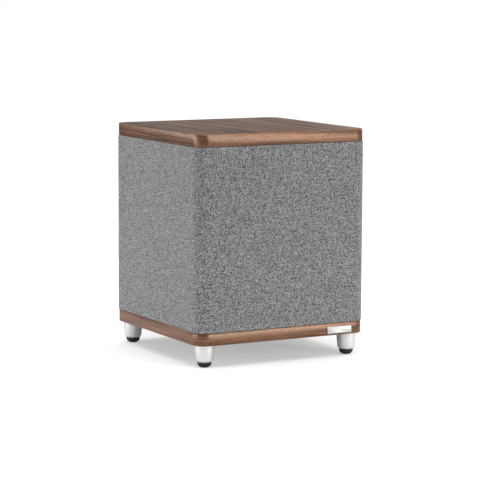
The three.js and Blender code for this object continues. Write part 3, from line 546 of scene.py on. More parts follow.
@dataclass(frozen=True)
class Lathed(Finish):
    """Metal with the fine lines of a lathe about an upright axis."""

    colour: tuple = (0.80, 0.80, 0.78)
    centre: tuple = (0.0, 0.0, 0.0)
    line_depth: float = 0.0005 * MM

    def dress(self, b: Bench) -> Feeds:
        """Lines change the roughness and the tone a little, and edges are a shade brighter.

        Args:
            b: The material's bench.

        Returns:
            What feeds each of the surface's sockets.
        """
        place = b.vector("SUBTRACT", b.place(), self.centre)
        lines = RINGS.on(b, place=place)["Lines"]
        wear = WEAR.on(b, place=place, width=0.35 * MM, amount=0.5)["Mask"]
        dim = tuple(0.94 * c for c in self.colour)
        tone = b.mix(dim, self.colour, b.span(lines, 0.3, 0.7))
        bright = tuple(min(1.0, 1.12 * c) for c in self.colour)
        rough = b.math("MULTIPLY_ADD", lines, 0.08, self.roughness - 0.04)
        return {
            "Base Color": b.mix(tone, bright, wear),
            "Roughness": rough,
            "Normal": b.bump(lines, self.line_depth, 0.5),
        }


@dataclass(frozen=True)
class Brushed(Finish):
    """Metal brushed along one direction of the object."""

    colour: tuple = (0.86, 0.86, 0.85)
    stretch: tuple = (45.0, 2600.0, 2600.0)

    def dress(self, b: Bench) -> Feeds:
        """Long scratches in tone, roughness and height.

        Args:
            b: The material's bench.

        Returns:
            What feeds each of the surface's sockets.
        """
        place = b.place()
        scratch = b.noise(b.scaled(place, *self.stretch), 1.0, 3.0, 0.6)
        dim = tuple(0.90 * c for c in self.colour)
        tone = b.mix(dim, self.colour, b.span(scratch, 0.3, 0.7))
        wear = WEAR.on(b, place=place, width=0.3 * MM, amount=0.6)["Mask"]
        return {
            "Base Color": b.mix(tone, (1.0, 1.0, 0.99), wear),
            "Roughness": b.math("MULTIPLY_ADD", scratch, 0.2, self.roughness - 0.1),
            "Normal": b.bump(scratch, 0.002 * MM, 0.5),
        }


@dataclass(frozen=True)
class Mottled(Finish):
    """A moulded, sprayed, sintered or pressed surface of one hue with fine unevenness."""

    colour: tuple = (0.02, 0.02, 0.02)
    other: tuple = (0.03, 0.03, 0.03)
    coarse: float = 40.0
    fine: float = 900.0
    depth: float = 0.02 * MM
    worn: tuple | None = None
    worn_share: float = 0.4
    coat: float = 0.0

    def dress(self, b: Bench) -> Feeds:
        """Two hues mottled together, uneven gloss, and edges that show wear where they can.

        Args:
            b: The material's bench.

        Returns:
            What feeds each of the surface's sockets.
        """
        b.surface.inputs["Coat Weight"].default_value = self.coat
        place = b.place()
        mottle = MOTTLE.on(b, place=place, coarse=self.coarse, fine=self.fine)
        colour = b.mix(self.colour, self.other, b.span(mottle["Tone"], 0.38, 0.62))
        if self.worn:
            wear = WEAR.on(b, place=place, width=0.4 * MM, amount=self.worn_share)["Mask"]
            colour = b.mix(colour, self.worn, wear)
        rough = b.math("MULTIPLY_ADD", mottle["Patches"], 0.08, self.roughness - 0.04)
        return {"Base Color": colour, "Roughness": rough, "Normal": b.bump(mottle["Height"], self.depth, 0.6)}


@dataclass(frozen=True)
class Fibrous(Finish):
    """Felted fibres: pulp, pressed board or wadding, by their colours and scale."""

    colour: tuple = (0.02, 0.02, 0.02)
    fibre: tuple = (0.06, 0.06, 0.06)
    scale: float = 900.0
    depth: float = 0.08 * MM

    def dress(self, b: Bench) -> Feeds:
        """Crossed stretched noises stand for fibres that lie every way.

        Args:
            b: The material's bench.

        Returns:
            What feeds each of the surface's sockets.
        """
        place = b.place()
        wander = b.noise(place, 90.0, 2.0)
        shift = b.scaled(b.vec(wander, wander, wander), 0.01, 0.013, 0.009)
        bent = b.vector("ADD", place, shift)
        one = b.noise(b.scaled(bent, self.scale, self.scale * 0.12, self.scale * 0.3))
        two = b.noise(b.scaled(bent, self.scale * 0.12, self.scale, self.scale * 0.4))
        fibres = b.math("MAXIMUM", one, two)
        colour = b.mix(self.colour, self.fibre, b.span(fibres, 0.48, 0.72))
        mottle = MOTTLE.on(b, place=place, coarse=60.0, fine=700.0)
        rough = b.math("MULTIPLY_ADD", mottle["Patches"], 0.1, self.roughness - 0.05)
        return {"Base Color": colour, "Roughness": rough, "Normal": b.bump(fibres, self.depth, 0.6)}


@dataclass(frozen=True)
class Woven(Finish):
    """Treated cloth, tape or braid, with its threads along the object's X and Y."""

    dark: tuple = (0.30, 0.15, 0.03)
    light: tuple = (0.55, 0.32, 0.08)
    pitch: float = 0.7 * MM

    def dress(self, b: Bench) -> Feeds:
        """The shared weave in the piece's own place, with painted shade where the threads dip.

        Args:
            b: The material's bench.

        Returns:
            What feeds each of the surface's sockets.
        """
        weave = WEAVE.on(b, place=b.place(), thread_pitch=self.pitch, slub=0.2)
        # Painted shade: the colour darkens where the threads are low, between the crests.
        tone = b.math("MULTIPLY_ADD", weave["Height"], 0.6, b.math("MULTIPLY", weave["Tone"], 0.5))
        colour = b.mix(self.dark, self.light, b.span(tone, 0.3, 0.9))
        return {"Base Color": colour, "Normal": b.bump(weave["Height"], 0.15 * MM, 0.6)}


@dataclass(frozen=True)
class Wound(Finish):
    """Enamelled wire in close turns along Z."""

    colour: tuple = (0.62, 0.22, 0.08)
    pitch: float = 0.42 * MM

    def dress(self, b: Bench) -> Feeds:
        """A round crest for each turn, with painted shade between the turns.

        Args:
            b: The material's bench.

        Returns:
            What feeds each of the surface's sockets.
        """
        _, _, z = b.split(b.place())
        wave = b.math("ABSOLUTE", b.math("SINE", b.math("MULTIPLY", z, math.pi / self.pitch)))
        dim = tuple(0.35 * c for c in self.colour)
        mottle = MOTTLE.on(b, place=b.place(), coarse=120.0, fine=1500.0)
        # Painted shade: the wire's colour falls towards the grooves between the turns.
        tone = b.math("MULTIPLY", b.math("POWER", wave, 0.5), b.span(mottle["Tone"], 0.3, 0.6, 0.8, 1.0))
        return {"Base Color": b.mix(dim, self.colour, tone), "Normal": b.bump(wave, 0.15 * MM)}


@dataclass(frozen=True)
class Lens(Finish):
    """A small green lamp under a diffusing lens, alight."""

    colour: tuple = (0.10, 0.55, 0.16)
    core: tuple = (0.50, 0.95, 0.50)
    glow: float = 1.4

    def dress(self, b: Bench) -> Feeds:
        """Two greens mottled together, alight.

        Args:
            b: The material's bench.

        Returns:
            What feeds each of the surface's sockets.
        """
        b.surface.inputs["Emission Strength"].default_value = self.glow
        mottle = MOTTLE.on(b, place=b.place(), coarse=500.0, fine=2500.0)
        colour = b.mix(self.colour, self.core, mottle["Patches"])
        return {"Base Color": colour, "Emission Color": colour, "Normal": b.bump(mottle["Height"], 0.01 * MM)}


def grey(tone: float) -> tuple[float, float, float]:
    """A colour with the same tone in all three channels."""
    return (tone, tone, tone)


WALNUT = Walnut("walnut_veneer", roughness=0.27, specular=1.0)
# Painted shade and sheen: the top face's walnut is a darker, greyer copy of the edges' walnut, for a top that
# takes less light and shows a grey sheen. Its pore, figure and waviness settings are its own grain.
WALNUT_TOP_SHADED = Walnut(
    "walnut_veneer_top_shaded", roughness=0.40, specular=0.5,
    dark=(0.028, 0.015, 0.010), middle=(0.105, 0.060, 0.043), light=(0.225, 0.135, 0.098),
    pore=(0.018, 0.010, 0.007), pore_share=0.6, pore_scale=0.85, waviness=0.012,
    figure_share=0.65, spread=0.105,
)
CLOTH = MelangeCloth("grey_cloth", roughness=0.9, specular=0.2)
BADGE_METAL = Brushed("badge_metal", roughness=0.36, metallic=1.0, colour=(0.50, 0.50, 0.485))
FOOT_METAL = Lathed("foot_metal", roughness=0.33, metallic=0.62, colour=(0.96, 0.96, 0.94))
FIBREBOARD = Fibrous("fibreboard", roughness=0.85, colour=(0.30, 0.20, 0.12), fibre=(0.46, 0.33, 0.21))
RUBBER = Mottled("foot_rubber", roughness=0.55, colour=grey(0.008), other=grey(0.016),
    fine=1600.0, worn=grey(0.05))
SURROUND_RUBBER = Mottled("surround_rubber", roughness=0.40, colour=(0.020, 0.020, 0.021),
    other=(0.030, 0.030, 0.032), fine=1400.0, depth=0.015 * MM)
PAPER = Fibrous("cone_paper", roughness=0.58, colour=(0.035, 0.035, 0.037), fibre=(0.105, 0.105, 0.110))
TRIM = Mottled("trim_plastic", roughness=0.42, colour=grey(0.012), other=grey(0.018),
    worn=grey(0.05))
PLASTIC = Mottled("black_plastic", roughness=0.40, colour=(0.013, 0.013, 0.014), other=(0.020, 0.020, 0.021),
    fine=2200.0, worn=grey(0.07))
BLACK_STEEL = Mottled("black_steel", roughness=0.45, colour=grey(0.012), other=grey(0.020),
    fine=1300.0, worn=grey(0.09), coat=0.2)
PLATE_PAINT = Mottled("plate_paint", roughness=0.50, colour=(0.014, 0.014, 0.015), other=(0.024, 0.024, 0.025),
    coarse=150.0, fine=1900.0, depth=0.05 * MM, worn=grey(0.10), worn_share=0.5)
FOAM = Mottled("black_foam", roughness=0.95, colour=grey(0.008), other=grey(0.040),
    coarse=900.0, fine=2600.0, depth=0.3 * MM)
STEEL = Mottled("bright_steel", roughness=0.32, metallic=1.0, colour=grey(0.50),
    other=(0.62, 0.62, 0.61), coarse=90.0, fine=1500.0, depth=0.008 * MM, worn=grey(0.8))
FERRITE = Mottled("ferrite", roughness=0.62, colour=(0.030, 0.030, 0.032), other=(0.055, 0.055, 0.058),
    coarse=250.0, fine=2400.0, depth=0.05 * MM, worn=grey(0.11))
SPIDER_CLOTH = Woven("spider_cloth", roughness=0.75, pitch=0.8 * MM)
FORMER = Mottled("former_aluminium", roughness=0.35, metallic=1.0, colour=grey(0.70),
    other=grey(0.82), depth=0.005 * MM)
COPPER = Wound("copper_wire", roughness=0.30, metallic=0.9)
GOLD = Mottled("socket_gold", roughness=0.25, metallic=1.0, colour=(0.78, 0.52, 0.18),
    other=(0.86, 0.62, 0.26),
    fine=2500.0, depth=0.004 * MM, worn=(1.0, 0.82, 0.45))
BOARD = Mottled("circuit_board", roughness=0.38, colour=(0.006, 0.085, 0.030), other=(0.012, 0.150, 0.055),
    coarse=180.0, fine=700.0, depth=0.03 * MM)
TAPE = Woven("transformer_wrap", roughness=0.45, dark=(0.42, 0.28, 0.02), light=(0.72, 0.52, 0.06),
    pitch=2.5 * MM)
LAMP = Lens("lamp_lens", roughness=0.2)
WADDING = Fibrous("wadding", roughness=1.0, colour=(0.62, 0.61, 0.57), fibre=(0.92, 0.91, 0.88), scale=420.0,
    depth=0.5 * MM)
SLEEVE = Woven("lead_sleeve", roughness=0.55, dark=grey(0.012), light=grey(0.07), pitch=0.6 * MM)
PRINT = Mottled("plate_print", roughness=0.6, colour=(0.62, 0.62, 0.60), other=(0.70, 0.70, 0.68), fine=3000.0,
    depth=0.002 * MM)
HEATSINK = Mottled("heatsink_anodised", roughness=0.42, colour=(0.016, 0.016, 0.017),
    other=(0.024, 0.024, 0.025),
    fine=1800.0, depth=0.01 * MM, worn=grey(0.14), worn_share=0.6)
KNOB = Mottled("knob_moulding", roughness=0.38, colour=(0.016, 0.016, 0.017), other=(0.023, 0.023, 0.024),
    fine=2400.0, worn=grey(0.07), worn_share=0.5)
SPINDLE = Mottled("spindle_metal", roughness=0.3, metallic=1.0, colour=(0.66, 0.66, 0.65),
    other=(0.76, 0.76, 0.75), fine=2200.0, depth=0.006 * MM, worn=grey(0.9))
WHITE_INSERT = Mottled("white_insert", roughness=0.4, colour=(0.66, 0.66, 0.63), other=(0.74, 0.74, 0.71))
RED_INSERT = Mottled("red_insert", roughness=0.4, colour=(0.42, 0.010, 0.012), other=(0.52, 0.018, 0.020))


# ---- mesh work


def softened(points: Sequence[Point], radius: float, closed: bool = True, steps: int = 4) -> list[Point]:
    """Rounds the corners of an outline.

    Args:
        points: The outline's corners.
        radius: The rounding's size, cut down where an edge is short.
        closed: Whether the last corner joins the first. An open outline keeps its two ends.
        steps: Points added at each corner.

    Returns:
        The rounded outline.
    """
    made: list[Point] = []
    count = len(points)
    for i, corner in enumerate(points):
        if not closed and i in (0, count - 1):
            made.append(corner)
            continue
        here = Vector(corner)
        back, ahead = Vector(points[i - 1]) - here, Vector(points[(i + 1) % count]) - here
        reach = min(radius, 0.45 * back.length, 0.45 * ahead.length)
        start, end = here + back.normalized() * reach, here + ahead.normalized() * reach
        for k in range(steps + 1):
            t = k / steps
            made.append(tuple((1 - t) ** 2 * start + 2 * t * (1 - t) * here + t * t * end))
    return made


def rounded_rectangle(width: float, height: float, corner: float, x: float = 0, y: float = 0,
                      steps: int = 12) -> list[Point]:
    """The outline of a rectangle with round corners about a place.

    Args:
        width: Its size along X.
        height: Its size along Y.
        corner: The corners' radius.
        x: The place's X.
        y: The place's Y.
        steps: The edges in each corner.

    Returns:
        The outline.
    """
    made = []
    for quarter in range(4):
        sx, sy = ((1, 1), (-1, 1), (-1, -1), (1, -1))[quarter]
        cx, cy = x + sx * (width / 2 - corner), y + sy * (height / 2 - corner)
        for k in range(steps + 1):
            angle = math.pi / 2 * (quarter + k / steps)
            made.append((cx + corner * math.cos(angle), cy + corner * math.sin(angle)))
    return made


def circle(radius: float, x: float = 0, y: float = 0, sides: int = 48) -> list[Point]:
    """The outline of a circle about a place."""
    turns = (2 * math.pi * i / sides for i in range(sides))
    return [(x + radius * math.cos(a), y + radius * math.sin(a)) for a in turns]


def linked(name: str, data: bpy.types.ID) -> Piece:
    """A new object in the scene that holds the given data."""
    made = bpy.data.objects.new(name, data)
    bpy.context.scene.collection.objects.link(made)
    return made


def new_piece(name: str, bm: bmesh.types.BMesh, frame_of: Matrix | None = None) -> Piece:
    """An object from a mesh in millimetres, with its faces turned out.

    Args:
        name: The piece's name.
        bm: The mesh, which is freed.
        frame_of: Where the mesh's own millimetre frame lies in the world, in metres.

    Returns:
        The new object, at the world's origin.
    """
    bmesh.ops.recalc_face_normals(bm, faces=bm.faces)
    bm.transform(Matrix.Scale(MM, 4))
    if frame_of is not None:
        bm.transform(frame_of)
        if frame_of.determinant() < 0:
            bmesh.ops.reverse_faces(bm, faces=bm.faces)
    mesh = bpy.data.meshes.new(name)
    bm.to_mesh(mesh)
    bm.free()
    return linked(name, mesh)


def prism(name: str, outline: Sequence[Point], low: float, high: float,
          frame_of: Matrix | None = None) -> Piece:
    """An outline run from one height to another, in millimetres.

    Args:
        name: The piece's name.
        outline: The outline.
        low: The lower height.
        high: The upper height.
        frame_of: Where the piece's own frame lies.

    Returns:
        The piece.
    """
    bm = bmesh.new()
    lower = [bm.verts.new((x, y, low)) for x, y in outline]
    upper = [bm.verts.new((x, y, high)) for x, y in outline]
    bm.faces.new(lower)
    bm.faces.new(reversed(upper))
    for i in range(len(outline)):
        j = (i + 1) % len(outline)
        bm.faces.new((lower[i], upper[i], upper[j], lower[j]))
    return new_piece(name, bm, frame_of)


def turned(name: str, profile: Sequence[Point], frame_of: Matrix | None = None, sides: int = ROUND_SIDES,
           closed: bool = False, flute: Callable[[float, float, float], float] | None = None) -> Piece:
    """A profile turned about the Z axis.

    Args:
        name: The piece's name.
        profile: Radius and height of each point, in millimetres. An open one starts and ends on the axis.
        frame_of: Where the piece's own frame lies.
        sides: Faces round the axis.
        closed: Whether the profile's end joins its start, as for a ring.
        flute: Given radius, height and angle, the radius to use instead.

    Returns:
        The piece.
    """
    bm = bmesh.new()
    rings = []
    for radius, height in profile:
        if radius < 1e-6:
            rings.append([bm.verts.new((0, 0, height))])
            continue
        ring = []
        for i in range(sides):
            angle = 2 * math.pi * i / sides
            r = flute(radius, height, angle) if flute else radius
            ring.append(bm.verts.new((r * math.cos(angle), r * math.sin(angle), height)))
        rings.append(ring)
    pairs = list(zip(rings, rings[1:])) + ([(rings[-1], rings[0])] if closed else [])
    for one, two in pairs:
        for i in range(sides):
            j = (i + 1) % sides
            corners = [one[i % len(one)], one[j % len(one)], two[j % len(two)], two[i % len(two)]]
            unique = list(dict.fromkeys(corners))
            if len(unique) > 2:
                bm.faces.new(unique)
    return new_piece(name, bm, frame_of)


def settle(piece: Piece) -> Piece:
    """Applies a piece's modifiers to its mesh.

    Args:
        piece: The piece.

    Returns:
        The same piece.
    """
    bpy.context.view_layer.update()
    depsgraph = bpy.context.evaluated_depsgraph_get()
    mesh = bpy.data.meshes.new_from_object(piece.evaluated_get(depsgraph))
    old, piece.data = piece.data, mesh
    piece.modifiers.clear()
    bpy.data.meshes.remove(old)
    mesh.name = piece.name
    return piece


def carved(piece: Piece, tools: Sequence[Piece]) -> Piece:
    """Cuts the tools out of a piece and removes them.

    Args:
        piece: The piece.
        tools: The pieces that cut it.

    Returns:
        The same piece.
    """
    for tool in tools:
        step = piece.modifiers.new("carve", "BOOLEAN")
        step.operation, step.solver, step.object = "DIFFERENCE", "EXACT", tool
    settle(piece)
    for tool in tools:
        bpy.data.objects.remove(tool, do_unlink=True)
    return piece


def eased(piece: Piece, edge: float, steps: int = 3, angle: float = 35.0) -> Piece:
    """Rounds a piece's sharp edges and shades it smoothly.

    Args:
        piece: The piece.
        edge: The rounding in millimetres, or 0 for none.
        steps: The faces across each rounding.
        angle: The least turn of a sharp edge, in degrees.

    Returns:
        The same piece.
    """
    if edge:
        piece.data.shade_smooth()
        bevel = piece.modifiers.new("ease", "BEVEL")
        bevel.harden_normals = True
        bevel.width, bevel.segments = edge * MM, steps
        bevel.limit_method, bevel.angle_limit = "ANGLE", math.radians(angle)
        bevel.use_clamp_overlap = True
        settle(piece)
    piece.data.shade_smooth()
    piece.data.set_sharp_from_angle(angle=math.radians(angle))
    return piece


def dressed(piece: Piece, finish: Finish, body: str, *nodes: str, slot: str = "") -> Piece:
    """Gives a piece its finish and its body, and hides the CAD nodes that it stands for.

    Args:
        piece: The piece.
        finish: Its finish, which also names its material.
        body: The CAD body it rides on.
        *nodes: The CAD nodes it replaces.
        slot: The record's slot, where it has another name than the finish. Not used.

    Returns:
        The piece.
    """
    piece.data.materials.clear()
    piece.data.materials.append(finish.material())
    if body:
        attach(piece, body)
    if nodes:
        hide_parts(*nodes)
    LOG.info("%s: %d faces, %s", piece.name, len(piece.data.polygons), finish.name)
    return piece


def kept(node: str, finish: Finish) -> None:
    """Keeps a CAD node and gives it a finish.

    Args:
        node: The node.
        finish: Its finish.
    """
    piece = frame["nodes"][node]
    piece.data.materials.clear()
    piece.data.materials.append(finish.material())
    LOG.info("%s: kept, %s", node, finish.name)


def refined(node: str, finish: Finish, body: str, edge: float = 0.3, name: str = "") -> Piece:
    """A CAD node's own shape again, with its flat faces made whole and its edges rounded.

    Args:
        node: The node.
        finish: Its finish.
        body: Its body.
        edge: The rounding in millimetres.
        name: The new piece's name.

    Returns:
        The piece.
    """
    bm = bmesh.new()
    bm.from_mesh(frame["nodes"][node].data)
    bmesh.ops.remove_doubles(bm, verts=bm.verts, dist=1e-6)
    bmesh.ops.dissolve_limit(bm, angle_limit=math.radians(1.0), verts=bm.verts, edges=bm.edges)
    bm.transform(Matrix.Scale(1 / MM, 4))
    piece = new_piece(name or node + "_finished", bm)
    return dressed(eased(piece, edge), finish, body, node)


def paint_faces(piece: Piece, finish: Finish, wanted: Callable[[Vector, Vector], bool]) -> None:
    """Gives some of a piece's faces another finish.

    Args:
        piece: The piece.
        finish: The second finish.
        wanted: The test, given a face's centre and normal.
    """
    piece.data.materials.append(finish.material())
    index = len(piece.data.materials) - 1
    for face in piece.data.polygons:
        if wanted(face.center, face.normal):
            face.material_index = index


def store_paths(piece: Piece, name: str, path_of: Callable[[Vector, Vector], Vector]) -> None:
    """Stores a place for the material at each face corner of a piece.

    Args:
        piece: The piece.
        name: The stored vector's name.
        path_of: Given a corner's place and its face's centre and normal, the place to store.
    """
    mesh = piece.data
    layer = mesh.attributes.new(name, "FLOAT_VECTOR", "CORNER")
    for face in mesh.polygons:
        for loop in face.loop_indices:
            here = mesh.vertices[mesh.loops[loop].vertex_index].co
            layer.data[loop].vector = path_of(here, face.center, face.normal)


def box_mm(node: str) -> tuple[Vector, Vector]:
    """A CAD node's lowest and highest corners in millimetres."""
    low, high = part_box(node)
    return low / MM, high / MM


@dataclass(frozen=True)
class Rim:
    """The path round a board or the wrap: a rectangle with round corners, in metres."""

    width: float
    depth: float
    corner: float
    middle: Vector

    @property
    def length(self) -> float:
        """The whole way round."""
        return 2 * (self.width + self.depth) - 8 * self.corner + 2 * math.pi * self.corner

    def along(self, place: Vector) -> float:
        """How far round a place lies, from the middle of the back and towards -X.

        Args:
            place: The place.

        Returns:
            The distance in metres.
        """
        x, y = place.x - self.middle.x, place.y - self.middle.y
        flat_x, flat_y = self.width / 2 - self.corner, self.depth / 2 - self.corner
        quarter = math.pi / 2 * self.corner
        if abs(x) <= flat_x:
            part = flat_x + 2 * flat_y + 2 * quarter + (x + flat_x) if y < 0 else -x
            return part if y < 0 else part % self.length
        if abs(y) <= flat_y:
            near = flat_x + quarter + (flat_y - y)
            return near if x < 0 else self.length - near
        turn = math.atan2(abs(x) - flat_x, abs(y) - flat_y) * self.corner
        back = flat_x + turn
        front = flat_x + 2 * quarter + 2 * flat_y - turn
        near = back if y > 0 else front
        return near if x < 0 else self.length - near

    def unrolled(self, place: Vector, centre: Vector) -> Vector:
        """A place on the rim laid out flat.

        Args:
            place: The place.
            centre: The middle of its face, which tells on which side of the start it lies.

        Returns:
            How far round it lies, and its height.
        """
        along = self.along(place)
        past = along < self.length / 4 and centre.x > self.middle.x
        return Vector((along + (self.length if past else 0.0), place.z, 0.0))


# ---- assembly


class SubAssembly:
    """A group of pieces that are built and dressed together."""

    def build(self) -> None:
        """Builds and dresses every piece of the group."""
        raise NotImplementedError


@dataclass
class Studio(SubAssembly):
    """Plain pale floor, soft lights and the camera. Angles are in degrees and lengths in metres."""

    azimuth: float = -28.65
    elevation: float = 7.29
    roll: float = 0.24
    distance: float = 3.123
    side_shift: float = 0.0023
    rise: float = 0.1253
    lens: float = 160.4
    floor_size: float = 40.0
    floor_near: float = 0.55
    floor_far: float = 1.5
    floor_tone: float = 0.80
    floor_tone_far: float = 0.16
    floor_lift: float = 0.38
    sky: float = 0.34

    def build(self) -> None:
        """Camera first, then floor, sky and lamps."""
        self.camera()
        self.floor()
        self.world()
        self.lamps()
        bpy.context.scene.view_settings.view_transform = "Standard"

    def camera(self) -> None:
        """The camera looks at the middle of the bottom board's underside from the front left."""
        low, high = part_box("bottom_board")
        target = Vector(((low.x + high.x) / 2, (low.y + high.y) / 2, low.z))
        a, e, r = (math.radians(v) for v in (self.azimuth, self.elevation, self.roll))
        right = Vector((math.cos(a), math.sin(a), 0))
        back = Vector((math.sin(a) * math.cos(e), -math.cos(a) * math.cos(e), math.sin(e)))
        up = back.cross(right)
        turned_right = math.cos(r) * right + math.sin(r) * up
        turned_up = math.cos(r) * up - math.sin(r) * right
        camera = bpy.data.cameras.new("camera")
        camera.lens, camera.sensor_width, camera.clip_end = self.lens, 36.0, 100.0
        made = linked("camera", camera)
        place = target + back * self.distance + right * self.side_shift + up * self.rise
        turn = Matrix((turned_right, turned_up, back)).transposed().to_4x4()
        made.matrix_world = Matrix.Translation(place) @ turn
        bpy.context.scene.camera = made

    def floor(self) -> None:
        """A wide white floor that can be seen through from below."""
        bm = bmesh.new()
        bmesh.ops.create_grid(bm, x_segments=8, y_segments=8, size=self.floor_size / 2 / MM)
        made = new_piece("floor", bm)
        if made.data.polygons[0].normal.z < 0:
            made.data.flip_normals()
        material = bpy.data.materials.new("floor_paint")
        material.use_nodes = True
        b = Bench(material.node_tree)
        paint = b.surface
        x, y, _ = b.split(b.place())
        away = b.reach(x, y)
        far = b.span(away, self.floor_near, self.floor_far)
        white, grey = (self.floor_tone,) * 3, (self.floor_tone_far,) * 3
        b.feed(paint.inputs["Base Color"], b.mix(white, grey, far))
        b.feed(paint.inputs["Roughness"], 0.7)
        b.feed(paint.inputs["Specular IOR Level"], 0.0)
        glow = b.add("Emission", {0: (1.0, 1.0, 1.0, 1.0), 1: b.span(away, self.floor_near, self.floor_far,
                                                                     self.floor_lift, 1.0)})
        seen = b.add("LightPath").outputs["Is Camera Ray"]
        lifted = b.add("AddShader", {0: paint.outputs[0], 1: glow.outputs[0]})
        face = b.add("MixShader", {0: seen, 1: paint.outputs[0], 2: lifted.outputs[0]})
        clear = b.add("BsdfTransparent")
        below = b.add("NewGeometry").outputs["Backfacing"]
        both = b.add("MixShader", {0: below, 1: face.outputs[0], 2: clear.outputs[0]})
        b.feed(material.node_tree.nodes["Material Output"].inputs["Surface"], both.outputs[0])
        made.data.materials.append(material)

    def world(self) -> None:
        """A white backdrop to the eye, and a dimmer even sky for the light it gives."""
        world = bpy.data.worlds.new("studio")
        bpy.context.scene.world = world
        world.use_nodes = True
        b = Bench(world.node_tree)
        seen = b.add("LightPath").outputs["Is Camera Ray"]
        sky = b.add("Background", {0: (1.0, 1.0, 1.0, 1.0), 1: self.sky})
        backdrop = b.add("Background", {0: (1.0, 1.0, 1.0, 1.0), 1: 1.0})
        both = b.add("MixShader", {0: seen, 1: sky.outputs[0], 2: backdrop.outputs[0]})
        b.feed(world.node_tree.nodes["World Output"].inputs["Surface"], both.outputs[0])

    def lamps(self) -> None:
        """A broad lamp overhead and three upright ones round the object."""
        self.lamp("overhead", (0.0, -0.2, 2.6), 3.2, 3.2, 1.9)
        self.lamp("left_bank", self.around(20, 1.9, 0.33), 2.0, 0.62, 4.5)
        self.lamp("front_bank", self.around(-116, 2.0, 0.40), 0.82, 0.8, 7.3)
        self.lamp("back_bank", self.around(150, 2.4, 0.9), 1.6, 1.4, 1.2)

    @staticmethod
    def around(turn: float, reach: float, height: float) -> tuple[float, float, float]:
        """A place round the object: the turn is from -X, positive towards the back."""
        a = math.radians(turn)
        return (-reach * math.cos(a), reach * math.sin(a), height)

    @staticmethod
    def lamp(name: str, place: tuple, width: float, height: float, strength: float) -> None:
        """A rectangular lamp aimed at the object.

        Args:
            name: Its name.
            place: Where it stands.
            width: Its width.
            height: Its height.
            strength: The radiance of its face.
        """
        light = bpy.data.lights.new(name, "AREA")
        light.shape, light.size, light.size_y = "RECTANGLE", width, height
        light.energy = strength * width * height * math.pi
        made = linked(name, light)
        aim = Vector((0, 0, 0.15)) - Vector(place)
        made.matrix_world = Matrix.Translation(place) @ aim.to_track_quat("-Z", "Y").to_matrix().to_4x4()


